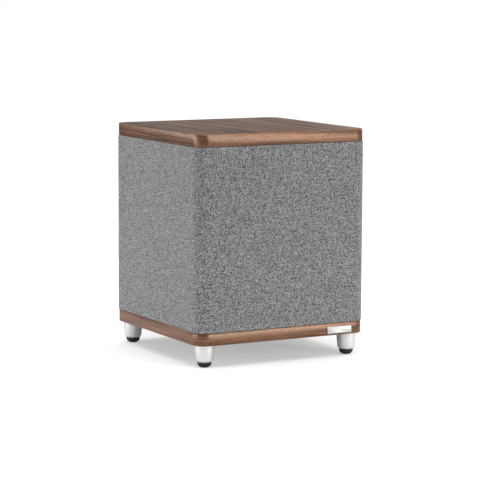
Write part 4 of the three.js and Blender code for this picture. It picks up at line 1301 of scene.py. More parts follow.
@dataclass
class Cabinet(SubAssembly):
    """Two walnut boards, the fibreboard walls, the cloth round them, the badge and the wadding."""

    board_corner: float = 17.0
    board_edge: float = 0.9
    driver_cut: float = 95.2
    rebate_radius: float = 106.8
    rebate_depth: float = 7.5
    stud_hole: float = 3.3
    cloth_thickness: float = 1.2
    cloth_corner: float = 18.1
    cloth_step: float = 4.5
    seam_width: float = 1.3
    seam_depth: float = 0.55
    hem_radius: float = 1.0
    opening: tuple = (142.0, 192.0, 182.0)
    seam_overlap: float = 12.0
    badge_rim: float = 0.9
    badge_sink: float = 0.18

    def build(self) -> None:
        """Boards, cloth, badge, walls and wadding."""
        self.top_board()
        self.bottom_board()
        self.cloth()
        self.badge()
        for wall in ("front_panel", "rear_panel", "left_panel", "right_panel"):
            kept(wall, FIBREBOARD)
        self.wadding()

    def rim(self, node: str) -> Rim:
        """The path round a board.

        Args:
            node: The board's node.

        Returns:
            The path.
        """
        low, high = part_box(node)
        size = high - low
        return Rim(size.x, size.y, self.board_corner * MM, (low + high) / 2)

    def board_blank(self, node: str) -> Piece:
        """A board with round corners and no holes.

        Args:
            node: The board's node.

        Returns:
            The piece.
        """
        low, high = box_mm(node)
        middle, size = (low + high) / 2, high - low
        outline = rounded_rectangle(size.x, size.y, self.board_corner, middle.x, middle.y, 16)
        return prism(node + "_veneered", outline, low.z, high.z)

    def veneer(self, piece: Piece, node: str, shaded_top_finish: Finish | None) -> None:
        """Stores the way the veneer runs, and dresses the board.

        Args:
            piece: The board.
            node: Its CAD node.
            shaded_top_finish: The finish of its top, where it differs from the rest: a darker, greyer walnut of
                painted shade and painted sheen.
        """
        rim = self.rim(node)
        offset = Vector((0.0, 0.0, 0.35 if shaded_top_finish else 0.8))

        def path(place: Vector, centre: Vector, normal: Vector) -> Vector:
            """From front to back on the faces, and round the edge band."""
            if abs(normal.z) > 0.8:
                return Vector((place.y, place.x, place.z)) + offset
            return rim.unrolled(place, centre) + offset * 3

        store_paths(piece, GRAIN_PATH, path)
        dressed(piece, WALNUT, "root", node)
        # The top face takes the darker, greyer walnut: painted shade and painted sheen.
        if shaded_top_finish:
            paint_faces(piece, shaded_top_finish, lambda centre, normal: normal.z > 0.8)

    def top_board(self) -> None:
        """The plain top board, whose top face takes the darker, greyer walnut of painted shade and painted
        sheen.
        """
        self.veneer(eased(self.board_blank("top_board"), self.board_edge), "top_board", WALNUT_TOP_SHADED)

    def bottom_board(self) -> None:
        """The bottom board, with the driver's rebated hole and four stud holes."""
        node = "bottom_board"
        low, high = box_mm(node)
        middle = (low + high) / 2
        feet = [box_mm(f"foot_bolt_{corner.value}") for corner in Corner]
        holes = [prism("cut", circle(self.driver_cut, middle.x, middle.y, 128), low.z - 1, high.z + 1)]
        rebate_top = low.z + self.rebate_depth
        holes.append(prism("cut", circle(self.rebate_radius, middle.x, middle.y, 128), low.z - 1, rebate_top))
        for foot_low, foot_high in feet:
            at = (foot_low + foot_high) / 2
            holes.append(prism("cut", circle(self.stud_hole, at.x, at.y, 24), low.z - 1, foot_high.z + 1))
        board = carved(self.board_blank(node), holes)
        self.veneer(eased(board, self.board_edge), node, None)

    def cloth(self) -> None:
        """One strip of cloth drawn tight round the walls, seamed at the back and open for the amplifier."""
        low, high = box_mm("fabric_wrap")
        middle, size = (low + high) / 2, high - low
        thick, hem = self.cloth_thickness, self.hem_radius
        turns = 5
        angles = [math.pi / 2 * i / turns for i in range(turns + 1)]
        outer = [(hem - hem * math.sin(a), low.z + hem - hem * math.cos(a)) for a in angles]
        rows = int((size.z - 2 * hem) / self.cloth_step)
        outer += [(0.0, low.z + hem + (size.z - 2 * hem) * i / rows) for i in range(1, rows)]
        outer += [(inset, low.z + high.z - z) for inset, z in reversed(outer[:turns + 1])]
        inner = [(thick, high.z - hem), (thick, low.z + hem)]
        bm = bmesh.new()
        rings = []
        for inset, z in outer + inner:
            outline = rounded_rectangle(size.x - 2 * inset, size.y - 2 * inset, self.cloth_corner - inset,
                                        middle.x, middle.y, 12)
            rings.append([bm.verts.new((x, y, z)) for x, y in self.spaced(outline, middle)])
        for one, two in zip(rings, rings[1:] + rings[:1]):
            for i in range(len(one)):
                j = (i + 1) % len(one)
                bm.faces.new((one[i], one[j], two[j], two[i]))
        for vertex in (v for ring in rings[:len(outer)] for v in ring):
            self.relax(vertex, middle)
        wrap = new_piece("fabric_wrap_cloth", bm)
        width, height, centre = self.opening
        hole = prism("cut", rounded_rectangle(width, height, 5, 0, centre), high.y - 8, high.y + 4, UPRIGHT)
        carved(wrap, [hole])
        eased(wrap, 0, angle=50)
        rim = Rim(size.x * MM, size.y * MM, self.cloth_corner * MM, middle * MM)
        store_paths(wrap, CLOTH_GRID, lambda place, face_centre, normal: rim.unrolled(place, face_centre))
        dressed(wrap, CLOTH, "root", "fabric_wrap")

    def spaced(self, outline: Sequence[Point], middle: Vector) -> list[Point]:
        """An outline with its straights divided into short steps, closest at the seam.

        Args:
            outline: The outline.
            middle: The middle of the wrap.

        Returns:
            The divided outline.
        """
        made = []
        for i, one in enumerate(outline):
            two = outline[(i + 1) % len(outline)]
            long = math.dist(one, two)
            steps = max(1, round(long / self.cloth_step)) if long > 2 * self.cloth_step else 1
            spots = [k / steps for k in range(steps)]
            if steps > 1 and one[1] > middle.y and two[1] > middle.y and abs(one[1] - two[1]) < 1e-6:
                seam = (one[0] - middle.x) / (one[0] - two[0])
                near = [seam + s * self.seam_width * k / 2 / long for k in (0, 1, 2) for s in (-1, 1)]
                spots = sorted({round(s, 6) for s in spots if abs(s - seam) > 1.6 * self.seam_width / long}
                               | {round(s, 6) for s in near})
            made += [(one[0] + (two[0] - one[0]) * s, one[1] + (two[1] - one[1]) * s) for s in spots]
        return made

    def relax(self, vertex: bmesh.types.BMVert, middle: Vector) -> None:
        """Lets the cloth lie a little unevenly, and sinks its seam.

        Args:
            vertex: A point of the cloth's outside.
            middle: The middle of the wrap.
        """
        place = vertex.co
        pull = 0.10 + 0.10 * noise.noise(place * 0.03) + 0.05 * noise.noise(place * 0.11)
        if place.y > middle.y + 100 and abs(place.x - middle.x) < self.seam_width:
            pull += self.seam_depth * (1 - abs(place.x - middle.x) / self.seam_width)
        away = Vector((place.x - middle.x, place.y - middle.y, 0))
        side = Vector((math.copysign(1, away.x), 0, 0)) if abs(away.x) > abs(away.y) else \
            Vector((0, math.copysign(1, away.y), 0))
        vertex.co = place - side * pull

    def badge(self) -> None:
        """A blank brushed plate with a fine raised rim, on the bottom board's front edge."""
        low, high = box_mm("badge_plate")
        middle, size = (low + high) / 2, high - low
        plate = prism("badge_plate_blank", rounded_rectangle(size.x, size.z, 0.9, middle.x, middle.z, 5),
                      low.y, high.y, UPRIGHT)
        rim = self.badge_rim
        field = prism("cut", rounded_rectangle(size.x - 2 * rim, size.z - 2 * rim, 0.5, middle.x, middle.z, 5),
                      low.y - 1, low.y + self.badge_sink, UPRIGHT)
        dressed(eased(carved(plate, [field]), 0.12, 2), BADGE_METAL, "root", "badge_plate")

    def wadding(self) -> None:
        """A soft block of wadding with pulled-in edges and a lumpy face."""
        low, high = box_mm("damping_wadding")
        middle, half = (low + high) / 2, (high - low) / 2
        bm = bmesh.new()
        bmesh.ops.create_cube(bm, size=2)
        bmesh.ops.subdivide_edges(bm, edges=bm.edges, cuts=30, use_grid_fill=True)
        for vertex in bm.verts:
            u = vertex.co.copy()
            crown = (1 - abs(u.x) ** 5) * (1 - abs(u.z) ** 5)
            place = Vector((u.x * half.x * (1 - 0.02 * u.y * u.y), u.y * half.y * (0.45 + 0.5 * crown),
                            u.z * half.z * (1 - 0.025 * u.y * u.y)))
            lump = noise.noise(place * 0.045) * 2.2 + noise.noise(place * 0.16) * 0.7
            inward = Vector((-u.x if abs(u.x) > 0.98 else 0, -u.y, -u.z if abs(u.z) > 0.98 else 0))
            vertex.co = middle + place + inward * (abs(lump) * 0.5 + 0.3)
        block = eased(new_piece("damping_wadding_block", bm), 0, angle=80)
        dressed(block, WADDING, "root", "damping_wadding")


@dataclass
class Feet(SubAssembly):
    """Four turned metal feet, each with a domed rubber pad and a threaded stud."""

    low_radius: float = 12.3
    tip_radius: float = 10.4
    tip_chamfer: float = 2.5
    groove_from_top: float = 4.0
    groove_height: float = 0.7
    groove_depth: float = 0.45
    socket_radius: float = 7.8
    socket_depth: float = 6.0
    pad_flat: float = 4.8
    pad_side: float = 1.0
    pad_taper: float = 1.35
    plug_radius: float = 7.5
    thread_pitch: float = 1.0
    thread_depth: float = 0.4

    def build(self) -> None:
        """Each foot in turn."""
        for corner in Corner:
            low, high = box_mm(f"foot_body_{corner.value}")
            axis = (low + high) / 2
            self.body(corner, axis, (high.x - low.x) / 2, low.z, high.z)
            self.pad(corner, axis, low.z)
            self.stud(corner, axis)

    @staticmethod
    def standing(axis: Vector) -> Matrix:
        """A frame that stands on the floor and whose Z runs up an axis."""
        return Matrix.Translation((axis.x * MM, axis.y * MM, 0))

    def body(self, corner: Corner, axis: Vector, top_radius: float, low: float, high: float) -> None:
        """The metal cone with a fine groove near its top.

        Args:
            corner: Which foot it is.
            axis: A point on its axis.
            top_radius: Its radius at the top.
            low: The height of its foot.
            high: The height of its top.
        """
        taper_low = low + self.tip_chamfer
        groove = high - self.groove_from_top
        at = self.low_radius + (top_radius - self.low_radius) * (groove - taper_low) / (high - taper_low)
        half = self.groove_height / 2
        outside = softened([
            (self.socket_radius, low), (self.tip_radius, low), (self.low_radius, taper_low),
            (at - 0.03, groove - half), (at - self.groove_depth, groove), (at + 0.03, groove + half),
            (top_radius, high), (Cabinet.stud_hole, high),
        ], 0.35, closed=False, steps=3)
        socket_top = low + self.socket_depth
        profile = [(0, socket_top), (self.socket_radius, socket_top), *outside,
                   (Cabinet.stud_hole, socket_top + 1), (0, socket_top + 1)]
        node = f"foot_body_{corner.value}"
        piece = turned(node + "_metal", profile, self.standing(axis))
        finish = replace(FOOT_METAL, name=f"foot_metal_{corner.value}", centre=(axis.x * MM, axis.y * MM, 0.0))
        dressed(eased(piece, 0, angle=40), finish, "root", node, slot="foot_metal")

    def pad(self, corner: Corner, axis: Vector, metal_low: float) -> None:
        """The rubber pad: a plug in the metal and a dome below it.

        Args:
            corner: Which foot it is.
            axis: A point on its axis.
            metal_low: The height of the metal's foot.
        """
        low, high = box_mm(f"foot_pad_{corner.value}")
        radius = (high.x - low.x) / 2
        seat = metal_low - 0.3
        side = seat - self.pad_side
        steps = 14
        angles = [math.pi / 2 * i / steps for i in range(steps + 1)]
        dome = [(self.pad_flat + (radius - self.pad_flat) * math.cos(a) ** self.pad_taper,
                 side * (1 - math.sin(a))) for a in angles]
        profile = [(0, high.z), *softened([(0, high.z), (self.plug_radius, high.z), (self.plug_radius, seat),
                                           (radius, seat), dome[0]], 0.4, closed=False, steps=3)[1:],
                   *dome[1:], (0, 0)]
        piece = turned(f"foot_pad_{corner.value}_rubber", profile, self.standing(axis))
        dressed(eased(piece, 0, angle=50), RUBBER, "root", f"foot_pad_{corner.value}")

    def stud(self, corner: Corner, axis: Vector) -> None:
        """A stud with a rolled thread.

        Args:
            corner: Which foot it is.
            axis: A point on its axis.
        """
        low, high = box_mm(f"foot_bolt_{corner.value}")
        radius = (high.x - low.x) / 2
        count = int((high.z - low.z - 1.0) / self.thread_pitch)
        root = radius - self.thread_depth
        profile = [(0, low.z), (root, low.z)]
        for i in range(count):
            crest = low.z + 0.5 + (i + 0.5) * self.thread_pitch
            profile += [(radius, crest - 0.08), (radius, crest + 0.08), (root, crest + self.thread_pitch / 2)]
        profile += [(root, high.z), (0, high.z)]
        piece = turned(f"foot_bolt_{corner.value}_stud", profile, self.standing(axis), 32)
        dressed(eased(piece, 0, angle=25), STEEL, "root", f"foot_bolt_{corner.value}")


@dataclass
class Screw:
    """A pan-head screw with a cross recess. Sizes are in millimetres."""

    head_radius: float = 3.4
    head_height: float = 2.2
    shank_radius: float = 1.75
    recess_length: float = 3.6
    recess_width: float = 0.75
    recess_depth: float = 1.3
    pitch: float = 0.9

    def piece(self, name: str, length: float, frame_of: Matrix) -> Piece:
        """One screw.

        Args:
            name: The piece's name.
            length: The shank's length.
            frame_of: The screw's own frame: its head's underside at 0 and its head along +Z.

        Returns:
            The piece.
        """
        root = 0.72 * self.shank_radius
        thread = [(0, -length), (0.3 * root, -length), (root, -length + self.shank_radius)]
        height = -length + self.shank_radius
        while height + self.pitch < -0.4:
            thread += [(self.shank_radius, height + self.pitch / 2), (root, height + self.pitch)]
            height += self.pitch
        top = self.head_height
        head = softened([(self.shank_radius, 0), (self.head_radius, 0), (self.head_radius, top * 0.35),
                         (self.head_radius * 0.66, top * 0.93), (0, top)], 0.5, closed=False)
        made = turned(name, [*thread, *head], None, 32)
        half, low = self.recess_length / 2, top - self.recess_depth
        arm = self.recess_width / 2
        bars = [[(-half, -arm), (half, -arm), (half, arm), (-half, arm)],
                [(-arm, -half), (arm, -half), (arm, half), (-arm, half)]]
        carved(made, [prism("cut", bar, low + 0.02 * i, top + 1) for i, bar in enumerate(bars)])
        made.data.transform(frame_of)
        return eased(made, 0, angle=32)


@dataclass
class Driver(SubAssembly):
    """The downward-firing driver. Heights are in millimetres above the bottom board's underside."""

    flange: tuple = (3.2, 5.7)
    flange_radius: float = 105.8
    inside: float = 91.8
    wall: float = 2.2
    shelf: tuple = (65.0, 47.3, 49.5)
    neck_radius: float = 52.0
    plate: tuple = (64.0, 65.5)
    plate_hole: float = 24.0
    windows: int = 8
    window: tuple = (28.0, 14.0, 38.0)
    screw_circle: float = 101.65
    screw_hole: float = 2.05
    roll_centre: float = 83.0
    roll: tuple = (8.5, 7.5)
    landing: tuple = (97.5, 1.9, 2.9)
    lip: float = 71.3
    rim: tuple = (75.9, 70.9, 3.2, 4.2)
    neck: tuple = (19.6, 35.0, 38.0)
    cone_thickness: float = 1.0
    rib_height: float = 0.32
    rib_radii: tuple = (40.0, 48.0, 56.0, 64.0)
    cap: tuple = (32.0, 9.5, 0.8)
    cap_edge: float = 26.86
    spider_waves: int = 3
    pole_vent: float = 5.0
    pole_radius: float = 18.2
    yoke_thickness: float = 8.0
    plate_bore: float = 21.2
    magnet_bore: float = 28.0
    fixed_radius: float = 91.0
    moving_radius: float = 74.8

    def build(self) -> None:
        """From the trim ring inwards, then back to the magnet."""
        low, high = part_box("bottom_board")
        self.frame_of = Matrix.Translation(((low.x + high.x) / 2, (low.y + high.y) / 2, low.z))
        kept("driver_gasket", FOAM)
        self.basket()
        self.trim()
        self.surround()
        self.cone()
        self.dust_cap()
        self.spider()
        self.coil()
        self.magnet()
        self.screws()

    def ring(self, name: str, node: str, low: float, high: float, inside: float, outside: float,
             finish: Finish, edge: float = 0.3, body: str = "root") -> Piece:
        """A plain ring with eased edges.

        Args:
            name: The piece's name.
            node: Its CAD node.
            low: The height of its lower face.
            high: The height of its upper face.
            inside: Its inner radius.
            outside: Its outer radius.
            finish: Its finish.
            edge: The rounding of its edges.
            body: Its body.

        Returns:
            The piece.
        """
        profile = softened([(inside, low), (outside, low), (outside, high), (inside, high)], edge)
        piece = turned(name, profile, self.frame_of, closed=True)
        return dressed(eased(piece, 0), finish, body, node)

    def basket(self) -> None:
        """The pressed steel basket: flange, sloping wall with windows, shelf, neck and plate."""
        wall, (shelf, shelf_low, shelf_high) = self.wall, self.shelf
        flange_low, flange_high = self.flange
        profile = softened([
            (self.inside, flange_low), (self.flange_radius, flange_low), (self.flange_radius, flange_high),
            (self.inside + wall, flange_high), (shelf + wall, shelf_high), (self.neck_radius + 1, shelf_high),
            (self.neck_radius, self.plate[1]), (self.plate_hole, self.plate[1]),
            (self.plate_hole, self.plate[0]),
            (self.neck_radius - wall, self.plate[0]), (self.neck_radius + 1 - wall, shelf_low),
            (shelf, shelf_low), (self.inside, flange_high),
        ], 0.9, steps=3)
        piece = turned("driver_basket_pressed", profile, self.frame_of, closed=True)
        width, low, high = self.window
        outward = Matrix(((0, 0, 1, 0), (1, 0, 0, 0), (0, 1, 0, 0), (0, 0, 0, 1)))
        cutters = []
        for i in range(self.windows):
            turn = Matrix.Rotation(2 * math.pi * i / self.windows, 4, "Z")
            hole = rounded_rectangle(width, high - low, 4, 0, (low + high) / 2, 5)
            through = self.frame_of @ turn @ outward
            cutters.append(prism("cut", hole, self.neck_radius + 6, self.flange_radius, through))
        for x, y in self.screw_places():
            cutters.append(prism("cut", circle(self.screw_hole, x, y, 24), flange_low - 1, flange_high + 1,
                                 self.frame_of))
        dressed(eased(carved(piece, cutters), 0, angle=30), BLACK_STEEL, "root", "driver_basket")

    def screw_places(self) -> list[Point]:
        """Where the four screws stand about the driver's axis."""
        return [p for p in circle(self.screw_circle, sides=8)][1::2]

    def trim(self) -> None:
        """The slim ring that covers the surround's landing."""
        low, high = box_mm("trim_ring")
        base = self.frame_of.translation.z / MM
        self.ring("trim_ring_moulded", "trim_ring", low.z - base, high.z - base, self.inside, self.landing[0],
                  TRIM, 0.5)

    def surround(self) -> None:
        """The rubber half-roll, from the basket's landing to the cone's lip. It rides on no body."""
        outside, low, high = self.landing
        outer, inner = self.roll
        middle, steps = self.roll_centre, 22
        arc = [math.pi * i / steps for i in range(steps + 1)]
        under = [(middle + outer * math.cos(a), low - outer * math.sin(a)) for a in arc]
        over = [(middle - inner * math.cos(a), low - inner * math.sin(a)) for a in arc]
        profile = [(outside, high), (outside, low), (middle + outer + 0.6, low), *under, (self.lip, low),
                   (self.lip, high), (middle - inner - 0.4, high), *over, (middle + inner + 0.4, high)]
        piece = eased(turned("surround_rubber_roll", profile, self.frame_of, 128, closed=True), 0, angle=55)
        dressed(piece, SURROUND_RUBBER, "", "surround")
        self.stretch(piece, self.fixed_radius, self.moving_radius)

    def stretch(self, piece: Piece, fixed: float, moving: float) -> None:
        """Bakes a ring's place into its mesh; it does not make the ring follow the basket or the cone.

        Args:
            piece: The ring, which has no parent yet.
            fixed: The radius meant to stay with the basket, in millimetres. Not used.
            moving: The radius meant to move with the cone. Not used.
        """
        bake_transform(piece)

    def cone(self) -> None:
        """A pulp cone with shallow stiffening ribs."""
        outer, inner, rim_low, rim_high = self.rim
        neck, neck_low, neck_top = self.neck
        slope = (neck_low - rim_low) / (inner - neck)

        def face(radius: float) -> float:
            """The height of the cone's outer face at a radius."""
            ribs = sum(math.exp(-((radius - r) / 0.9) ** 2) for r in self.rib_radii)
            return rim_low + (inner - radius) * slope + self.rib_height * ribs

        steps = 64
        radii = [inner + (neck - inner) * i / steps for i in range(steps + 1)]
        thick = self.cone_thickness
        upper = [(max(r, neck + thick * 0.6), face(r) + thick) for r in radii]
        profile = [(outer, rim_low), (outer, rim_high), *upper, (neck + thick, neck_low + thick + 0.4),
                   (neck + thick, neck_top), (neck, neck_top), *[(r, face(r)) for r in reversed(radii)]]
        piece = turned("cone_pulp", profile, self.frame_of, 128, closed=True)
        dressed(eased(piece, 0, angle=50), PAPER, "moving_cone", "cone")

    def dust_cap(self) -> None:
        """A domed cap that closes the cone's middle."""
        radius, rise, thick = self.cap
        sphere = (radius ** 2 + rise ** 2) / (2 * rise)
        centre = self.cap_edge - rise + sphere
        steps, widest = 24, math.asin(radius / sphere)
        inner_widest = math.acos((sphere - rise) / (sphere - thick))
        out = [(sphere * math.sin(widest * i / steps), centre - sphere * math.cos(widest * i / steps))
               for i in range(steps + 1)]
        inner = sphere - thick
        angles = [inner_widest * i / steps for i in range(steps, -1, -1)]
        back = [(inner * math.sin(a), centre - inner * math.cos(a)) for a in angles]
        piece = turned("dust_cap_pulp", out + back, self.frame_of)
        dressed(eased(piece, 0, angle=60), PAPER, "moving_cone", "dust_cap", slot="cone_paper")

    def spider(self) -> None:
        """The corrugated centring ring, from its collar at the coil to its rim on the shelf. It rides on no
        body.
        """
        low, high = box_mm("spider")
        base, outside = self.frame_of.translation.z / MM, (high.x - low.x) / 2
        middle = (low.z + high.z) / 2 - base
        wave, thick = (high.z - low.z - 1.0) / 2, 0.7
        start, end = self.neck[0] + 4.4, outside - 11.0
        steps = 60
        radii = [self.neck[0]] + [start + (end - start) * i / steps for i in range(steps + 1)] + [outside]

        def face(radius: float) -> float:
            """How far the corrugation rises or sinks at a radius."""
            t = min(1.0, max(0.0, (radius - start) / (end - start)))
            return wave * math.sin(2 * math.pi * self.spider_waves * t)

        under = [(r, middle - thick / 2 + face(r)) for r in radii]
        over = [(r, middle + thick / 2 + face(r)) for r in reversed(radii)]
        piece = eased(turned("spider_corrugated", under + over, self.frame_of, closed=True), 0, angle=60)
        dressed(piece, SPIDER_CLOTH, "", "spider")
        self.stretch(piece, end, start)

    def coil(self) -> None:
        """The aluminium former and the copper winding on it."""
        base = self.frame_of.translation.z / MM
        for node, finish, name in (("coil_former", FORMER, "coil_former_rolled"),
                                   ("coil_winding", COPPER, "coil_winding_wound")):
            low, high = box_mm(node)
            outside = (high.x - low.x) / 2
            inside = outside - (0.5 if node == "coil_former" else 0.75)
            self.ring(name, node, low.z - base, high.z - base, inside, outside, finish, 0.12, "moving_cone")

    def magnet(self) -> None:
        """Top plate, ferrite ring, and the yoke with its vented pole."""
        base = self.frame_of.translation.z / MM
        rings = (("top_plate", self.plate_bore, STEEL, 0.8, "top_plate_turned"),
                 ("magnet", self.magnet_bore, FERRITE, 1.2, "magnet_ferrite"))
        for node, inside, finish, edge, name in rings:
            low, high = box_mm(node)
            self.ring(name, node, low.z - base, high.z - base, inside, (high.x - low.x) / 2, finish, edge)
        low, high = box_mm("pole_yoke")
        low_z, high_z, outside = low.z - base, high.z - base, (high.x - low.x) / 2
        pole, back = self.pole_radius, high_z - self.yoke_thickness
        profile = softened([(self.pole_vent, low_z), (pole, low_z), (pole, back), (outside, back),
                            (outside, high_z - 2), (outside - 2, high_z), (self.pole_vent, high_z)], 0.7)
        piece = turned("pole_yoke_turned", profile, self.frame_of, closed=True)
        dressed(eased(piece, 0), STEEL, "root", "pole_yoke")

    def screws(self) -> None:
        """Four black screws that hold the basket up into the board."""
        for i, _ in enumerate(self.screw_places(), start=1):
            node = f"driver_screw_{i}"
            low, high = box_mm(node)
            seat = low.z + Screw.head_height
            middle = (low + high) / 2
            place = Matrix.Translation((middle.x * MM, middle.y * MM, seat * MM))
            turn = Matrix.Rotation(math.pi, 4, "X") @ Matrix.Rotation(math.radians(20 + 35 * i), 4, "Z")
            piece = Screw().piece(node + "_turned", high.z - seat, place @ turn)
            dressed(piece, BLACK_STEEL, "root", node)


@dataclass
class Amplifier(SubAssembly):
    """The plate amplifier on the back, seen from behind: x to the right, y up and z out of the cabinet."""

    plate_corner: float = 6.0
    sink_base: float = 3.0
    fins: int = 11
    fin: float = 2.0
    fin_taper: float = 0.15
    fin_crown: float = 0.5
    hole_gap: float = 0.3
    switch_lip: float = 1.5
    inlet_lip: float = 2.2
    inlet_depth: float = 15.8
    blade_pitch: float = 7.0
    flutes: int = 30
    flute_depth: float = 0.35
    knob_bore: float = 3.3
    knob_bore_depth: float = 5.5
    notch: tuple = (1.2, 1.05)
    dial: tuple = (11.4, 13.4, 0.45)
    dial_turn: float = 150.0
    dial_ticks: int = 11
    print_height: float = 0.06
    figure_size: float = 3.4
    seat: float = 0.3
    board_behind: float = 18.5
    spindle_hole: float = 3.3
    socket_hole: float = 4.45
    lamp_hole: float = 1.8
    screw_hole: float = 2.05

    def build(self) -> None:
        """The plate and what it carries, then what lies behind it."""
        low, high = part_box("amp_plate")
        middle = (low + high) / 2
        self.frame_of = Matrix(((-1, 0, 0, middle.x), (0, 0, 1, high.y), (0, 1, 0, middle.z), (0, 0, 0, 1)))
        self.plate()
        kept("amp_gasket", FOAM)
        self.heatsink()
        for control in ("level", "crossover"):
            self.spindle(control)
            self.knob(control)
        self.phase()
        self.power()
        self.inlet()
        self.sockets()
        self.lamp()
        self.marks()
        self.screws()
        self.circuit()
        self.transformer()
        self.lead()

    def local(self, node: str) -> tuple[Vector, Vector]:
        """A node's box in the plate's frame, in millimetres."""
        corners = [self.frame_of.inverted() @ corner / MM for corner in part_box(node)]
        return (Vector(min(a, b) for a, b in zip(*corners)), Vector(max(a, b) for a, b in zip(*corners)))

    def centre(self, node: str) -> Vector:
        """The middle of a node's box in the plate's frame."""
        low, high = self.local(node)
        return (low + high) / 2

    def at(self, node: str) -> Matrix:
        """The plate's frame moved sideways to a node's axis."""
        middle = self.centre(node)
        return self.frame_of @ Matrix.Translation((middle.x * MM, middle.y * MM, 0))

    def around_box(self, node: str, less: float, corner: float) -> list[Point]:
        """The outline of a node's box, made smaller all round.

        Args:
            node: The node.
            less: How much smaller it is on each side.
            corner: The corners' radius.

        Returns:
            The outline.
        """
        low, high = self.local(node)
        size, middle = high - low, (low + high) / 2
        return rounded_rectangle(size.x - 2 * less, size.y - 2 * less, corner, middle.x, middle.y, 4)

    def plate(self) -> None:
        """The painted plate with a hole for everything that passes through it."""
        low, high = self.local("amp_plate")
        size = high - low
        piece = prism("amp_plate_painted", rounded_rectangle(size.x, size.y, self.plate_corner), low.z, high.z,
                      self.frame_of)
        holes = [self.around_box("power_switch", self.switch_lip - self.hole_gap, 0.6),
                 self.around_box("mains_inlet", self.inlet_lip - self.hole_gap, 0.6)]
        slot_low, slot_high = self.local("phase_slider")
        middle, reach = (slot_low + slot_high) / 2, slot_high - slot_low
        travel = frame_travel("phase_slide")
        holes.append(rounded_rectangle(reach.x + travel + 2 * self.hole_gap, reach.y + 2 * self.hole_gap, 0.4,
                                       middle.x + travel / 2, middle.y, 3))
        round_holes = [("level_spindle", self.spindle_hole), ("crossover_spindle", self.spindle_hole),
                       ("rca_left", self.socket_hole), ("rca_right", self.socket_hole),
                       ("status_led", self.lamp_hole)]
        round_holes += [(f"amp_screw_{i}", self.screw_hole) for i in range(1, 5)]
        for node, radius in round_holes:
            spot = self.centre(node)
            holes.append(circle(radius, spot.x, spot.y, 40))
        carved(piece, [prism("cut", hole, low.z - 1, high.z + 1, self.frame_of) for hole in holes])
        dressed(eased(piece, 0.35), PLATE_PAINT, "root", "amp_plate")

    def heatsink(self) -> None:
        """An extruded comb of crowned fins."""
        low, high = self.local("heatsink")
        left, width = low.x, high.x - low.x
        pitch = (width - self.fin) / (self.fins - 1)
        base, tip, crown = low.z + self.sink_base, high.z, self.fin_crown
        comb = [(left, low.z), (left + width, low.z)]
        for i in reversed(range(self.fins)):
            x = left + i * pitch
            near, far = x + self.fin_taper, x + self.fin - self.fin_taper
            ends = [(x + self.fin, base), (far, tip - crown), (far - crown, tip), (near + crown, tip),
                    (near, tip - crown), (x, base)]
            comb += ends[1 if i == self.fins - 1 else 0:5 if i == 0 else 6]
        upright = self.frame_of @ UPRIGHT
        piece = prism("heatsink_extruded", softened(comb, 0.35, steps=2), low.y, high.y, upright)
        dressed(eased(piece, 0.25, 2), HEATSINK, "root", "heatsink", slot="plate_paint")

    def spindle(self, control: str) -> None:
        """A potentiometer's splined spindle.

        Args:
            control: Which control it turns.
        """
        node = f"{control}_spindle"
        low, high = self.local(node)
        radius = (high.x - low.x) / 2
        profile = softened([(0, low.z), (radius, low.z), (radius, high.z), (0, high.z)], 0.4, closed=False)
        piece = turned(node + "_splined", profile, self.at(node), 72, flute=lambda r, z, a: min(
            r, radius - (0.16 if z > -1 else 0.0) * (0.5 + 0.5 * math.cos(18 * a))))
        dressed(eased(piece, 0, angle=60), SPINDLE, f"{control}_control", node)

    def knob(self, control: str) -> None:
        """A fluted knob with a white index notch in its face.

        Args:
            control: Which control it turns.
        """
        node = f"{control}_knob"
        low, high = self.local(node)
        radius, bore, floor = (high.x - low.x) / 2, self.knob_bore, low.z + self.knob_bore_depth
        rim = softened([(radius, low.z), (radius, high.z - 0.2), (radius - 1.6, high.z),
                        (radius - 2.6, high.z - 0.5), (0, high.z - 0.35)], 0.7, closed=False)
        side = [(radius, low.z + rise) for rise in (0.4, 0.9, 3.0, 6.0)] + [(radius, high.z - 1.2)]
        profile = [(0, floor), (bore, floor), (bore, low.z), (radius - 0.4, low.z), *side, *rim[1:]]

        def flute(r: float, z: float, a: float) -> float:
            """The finger grooves round the knob's side."""
            grip = r > radius - 1.0 and low.z + 0.5 < z < high.z - 0.3
            return r - (self.flute_depth * (0.5 + 0.5 * math.cos(self.flutes * a)) if grip else 0.0)

        piece = turned(node + "_fluted", profile, self.at(node), 240, flute=flute)
        width, depth = self.notch
        start, end, notch_floor = radius * 0.35, radius + 1, high.z - depth
        mark = [(-width / 2, start), (width / 2, start), (width / 2, end), (-width / 2, end)]
        carved(piece, [prism("cut", mark, notch_floor, high.z + 1, self.at(node))])
        dressed(eased(piece, 0, angle=32), KNOB, f"{control}_control", node, slot="black_plastic")
        inverse = self.at(node).inverted()

        def in_notch(centre: Vector, normal: Vector) -> bool:
            """Whether a face is the notch's floor."""
            spot = inverse @ centre / MM
            return abs(spot.z - notch_floor) < 0.05 and abs(spot.x) < width and spot.y > 0

        paint_faces(piece, PRINT, in_notch)

    def phase(self) -> None:
        """The slide switch's body and its ridged slider."""
        refined("phase_switch", STEEL, "root", 0.2, "phase_switch_body")
        low, high = self.local("phase_slider")
        outline = self.around_box("phase_slider", 0, 0.3)
        piece = prism("phase_slider_ridged", outline, low.z, high.z, self.frame_of)
        grooves = []
        for i in (-1, 0, 1):
            x = (low.x + high.x) / 2 + i * 1.1
            grooves.append(prism("cut", [(x - 0.25, low.y - 1), (x + 0.25, low.y - 1), (x + 0.25, high.y + 1),
                                         (x - 0.25, high.y + 1)], high.z - 0.5, high.z + 1, self.frame_of))
        dressed(eased(carved(piece, grooves), 0.08, 2), PLASTIC, "phase_button", "phase_slider")

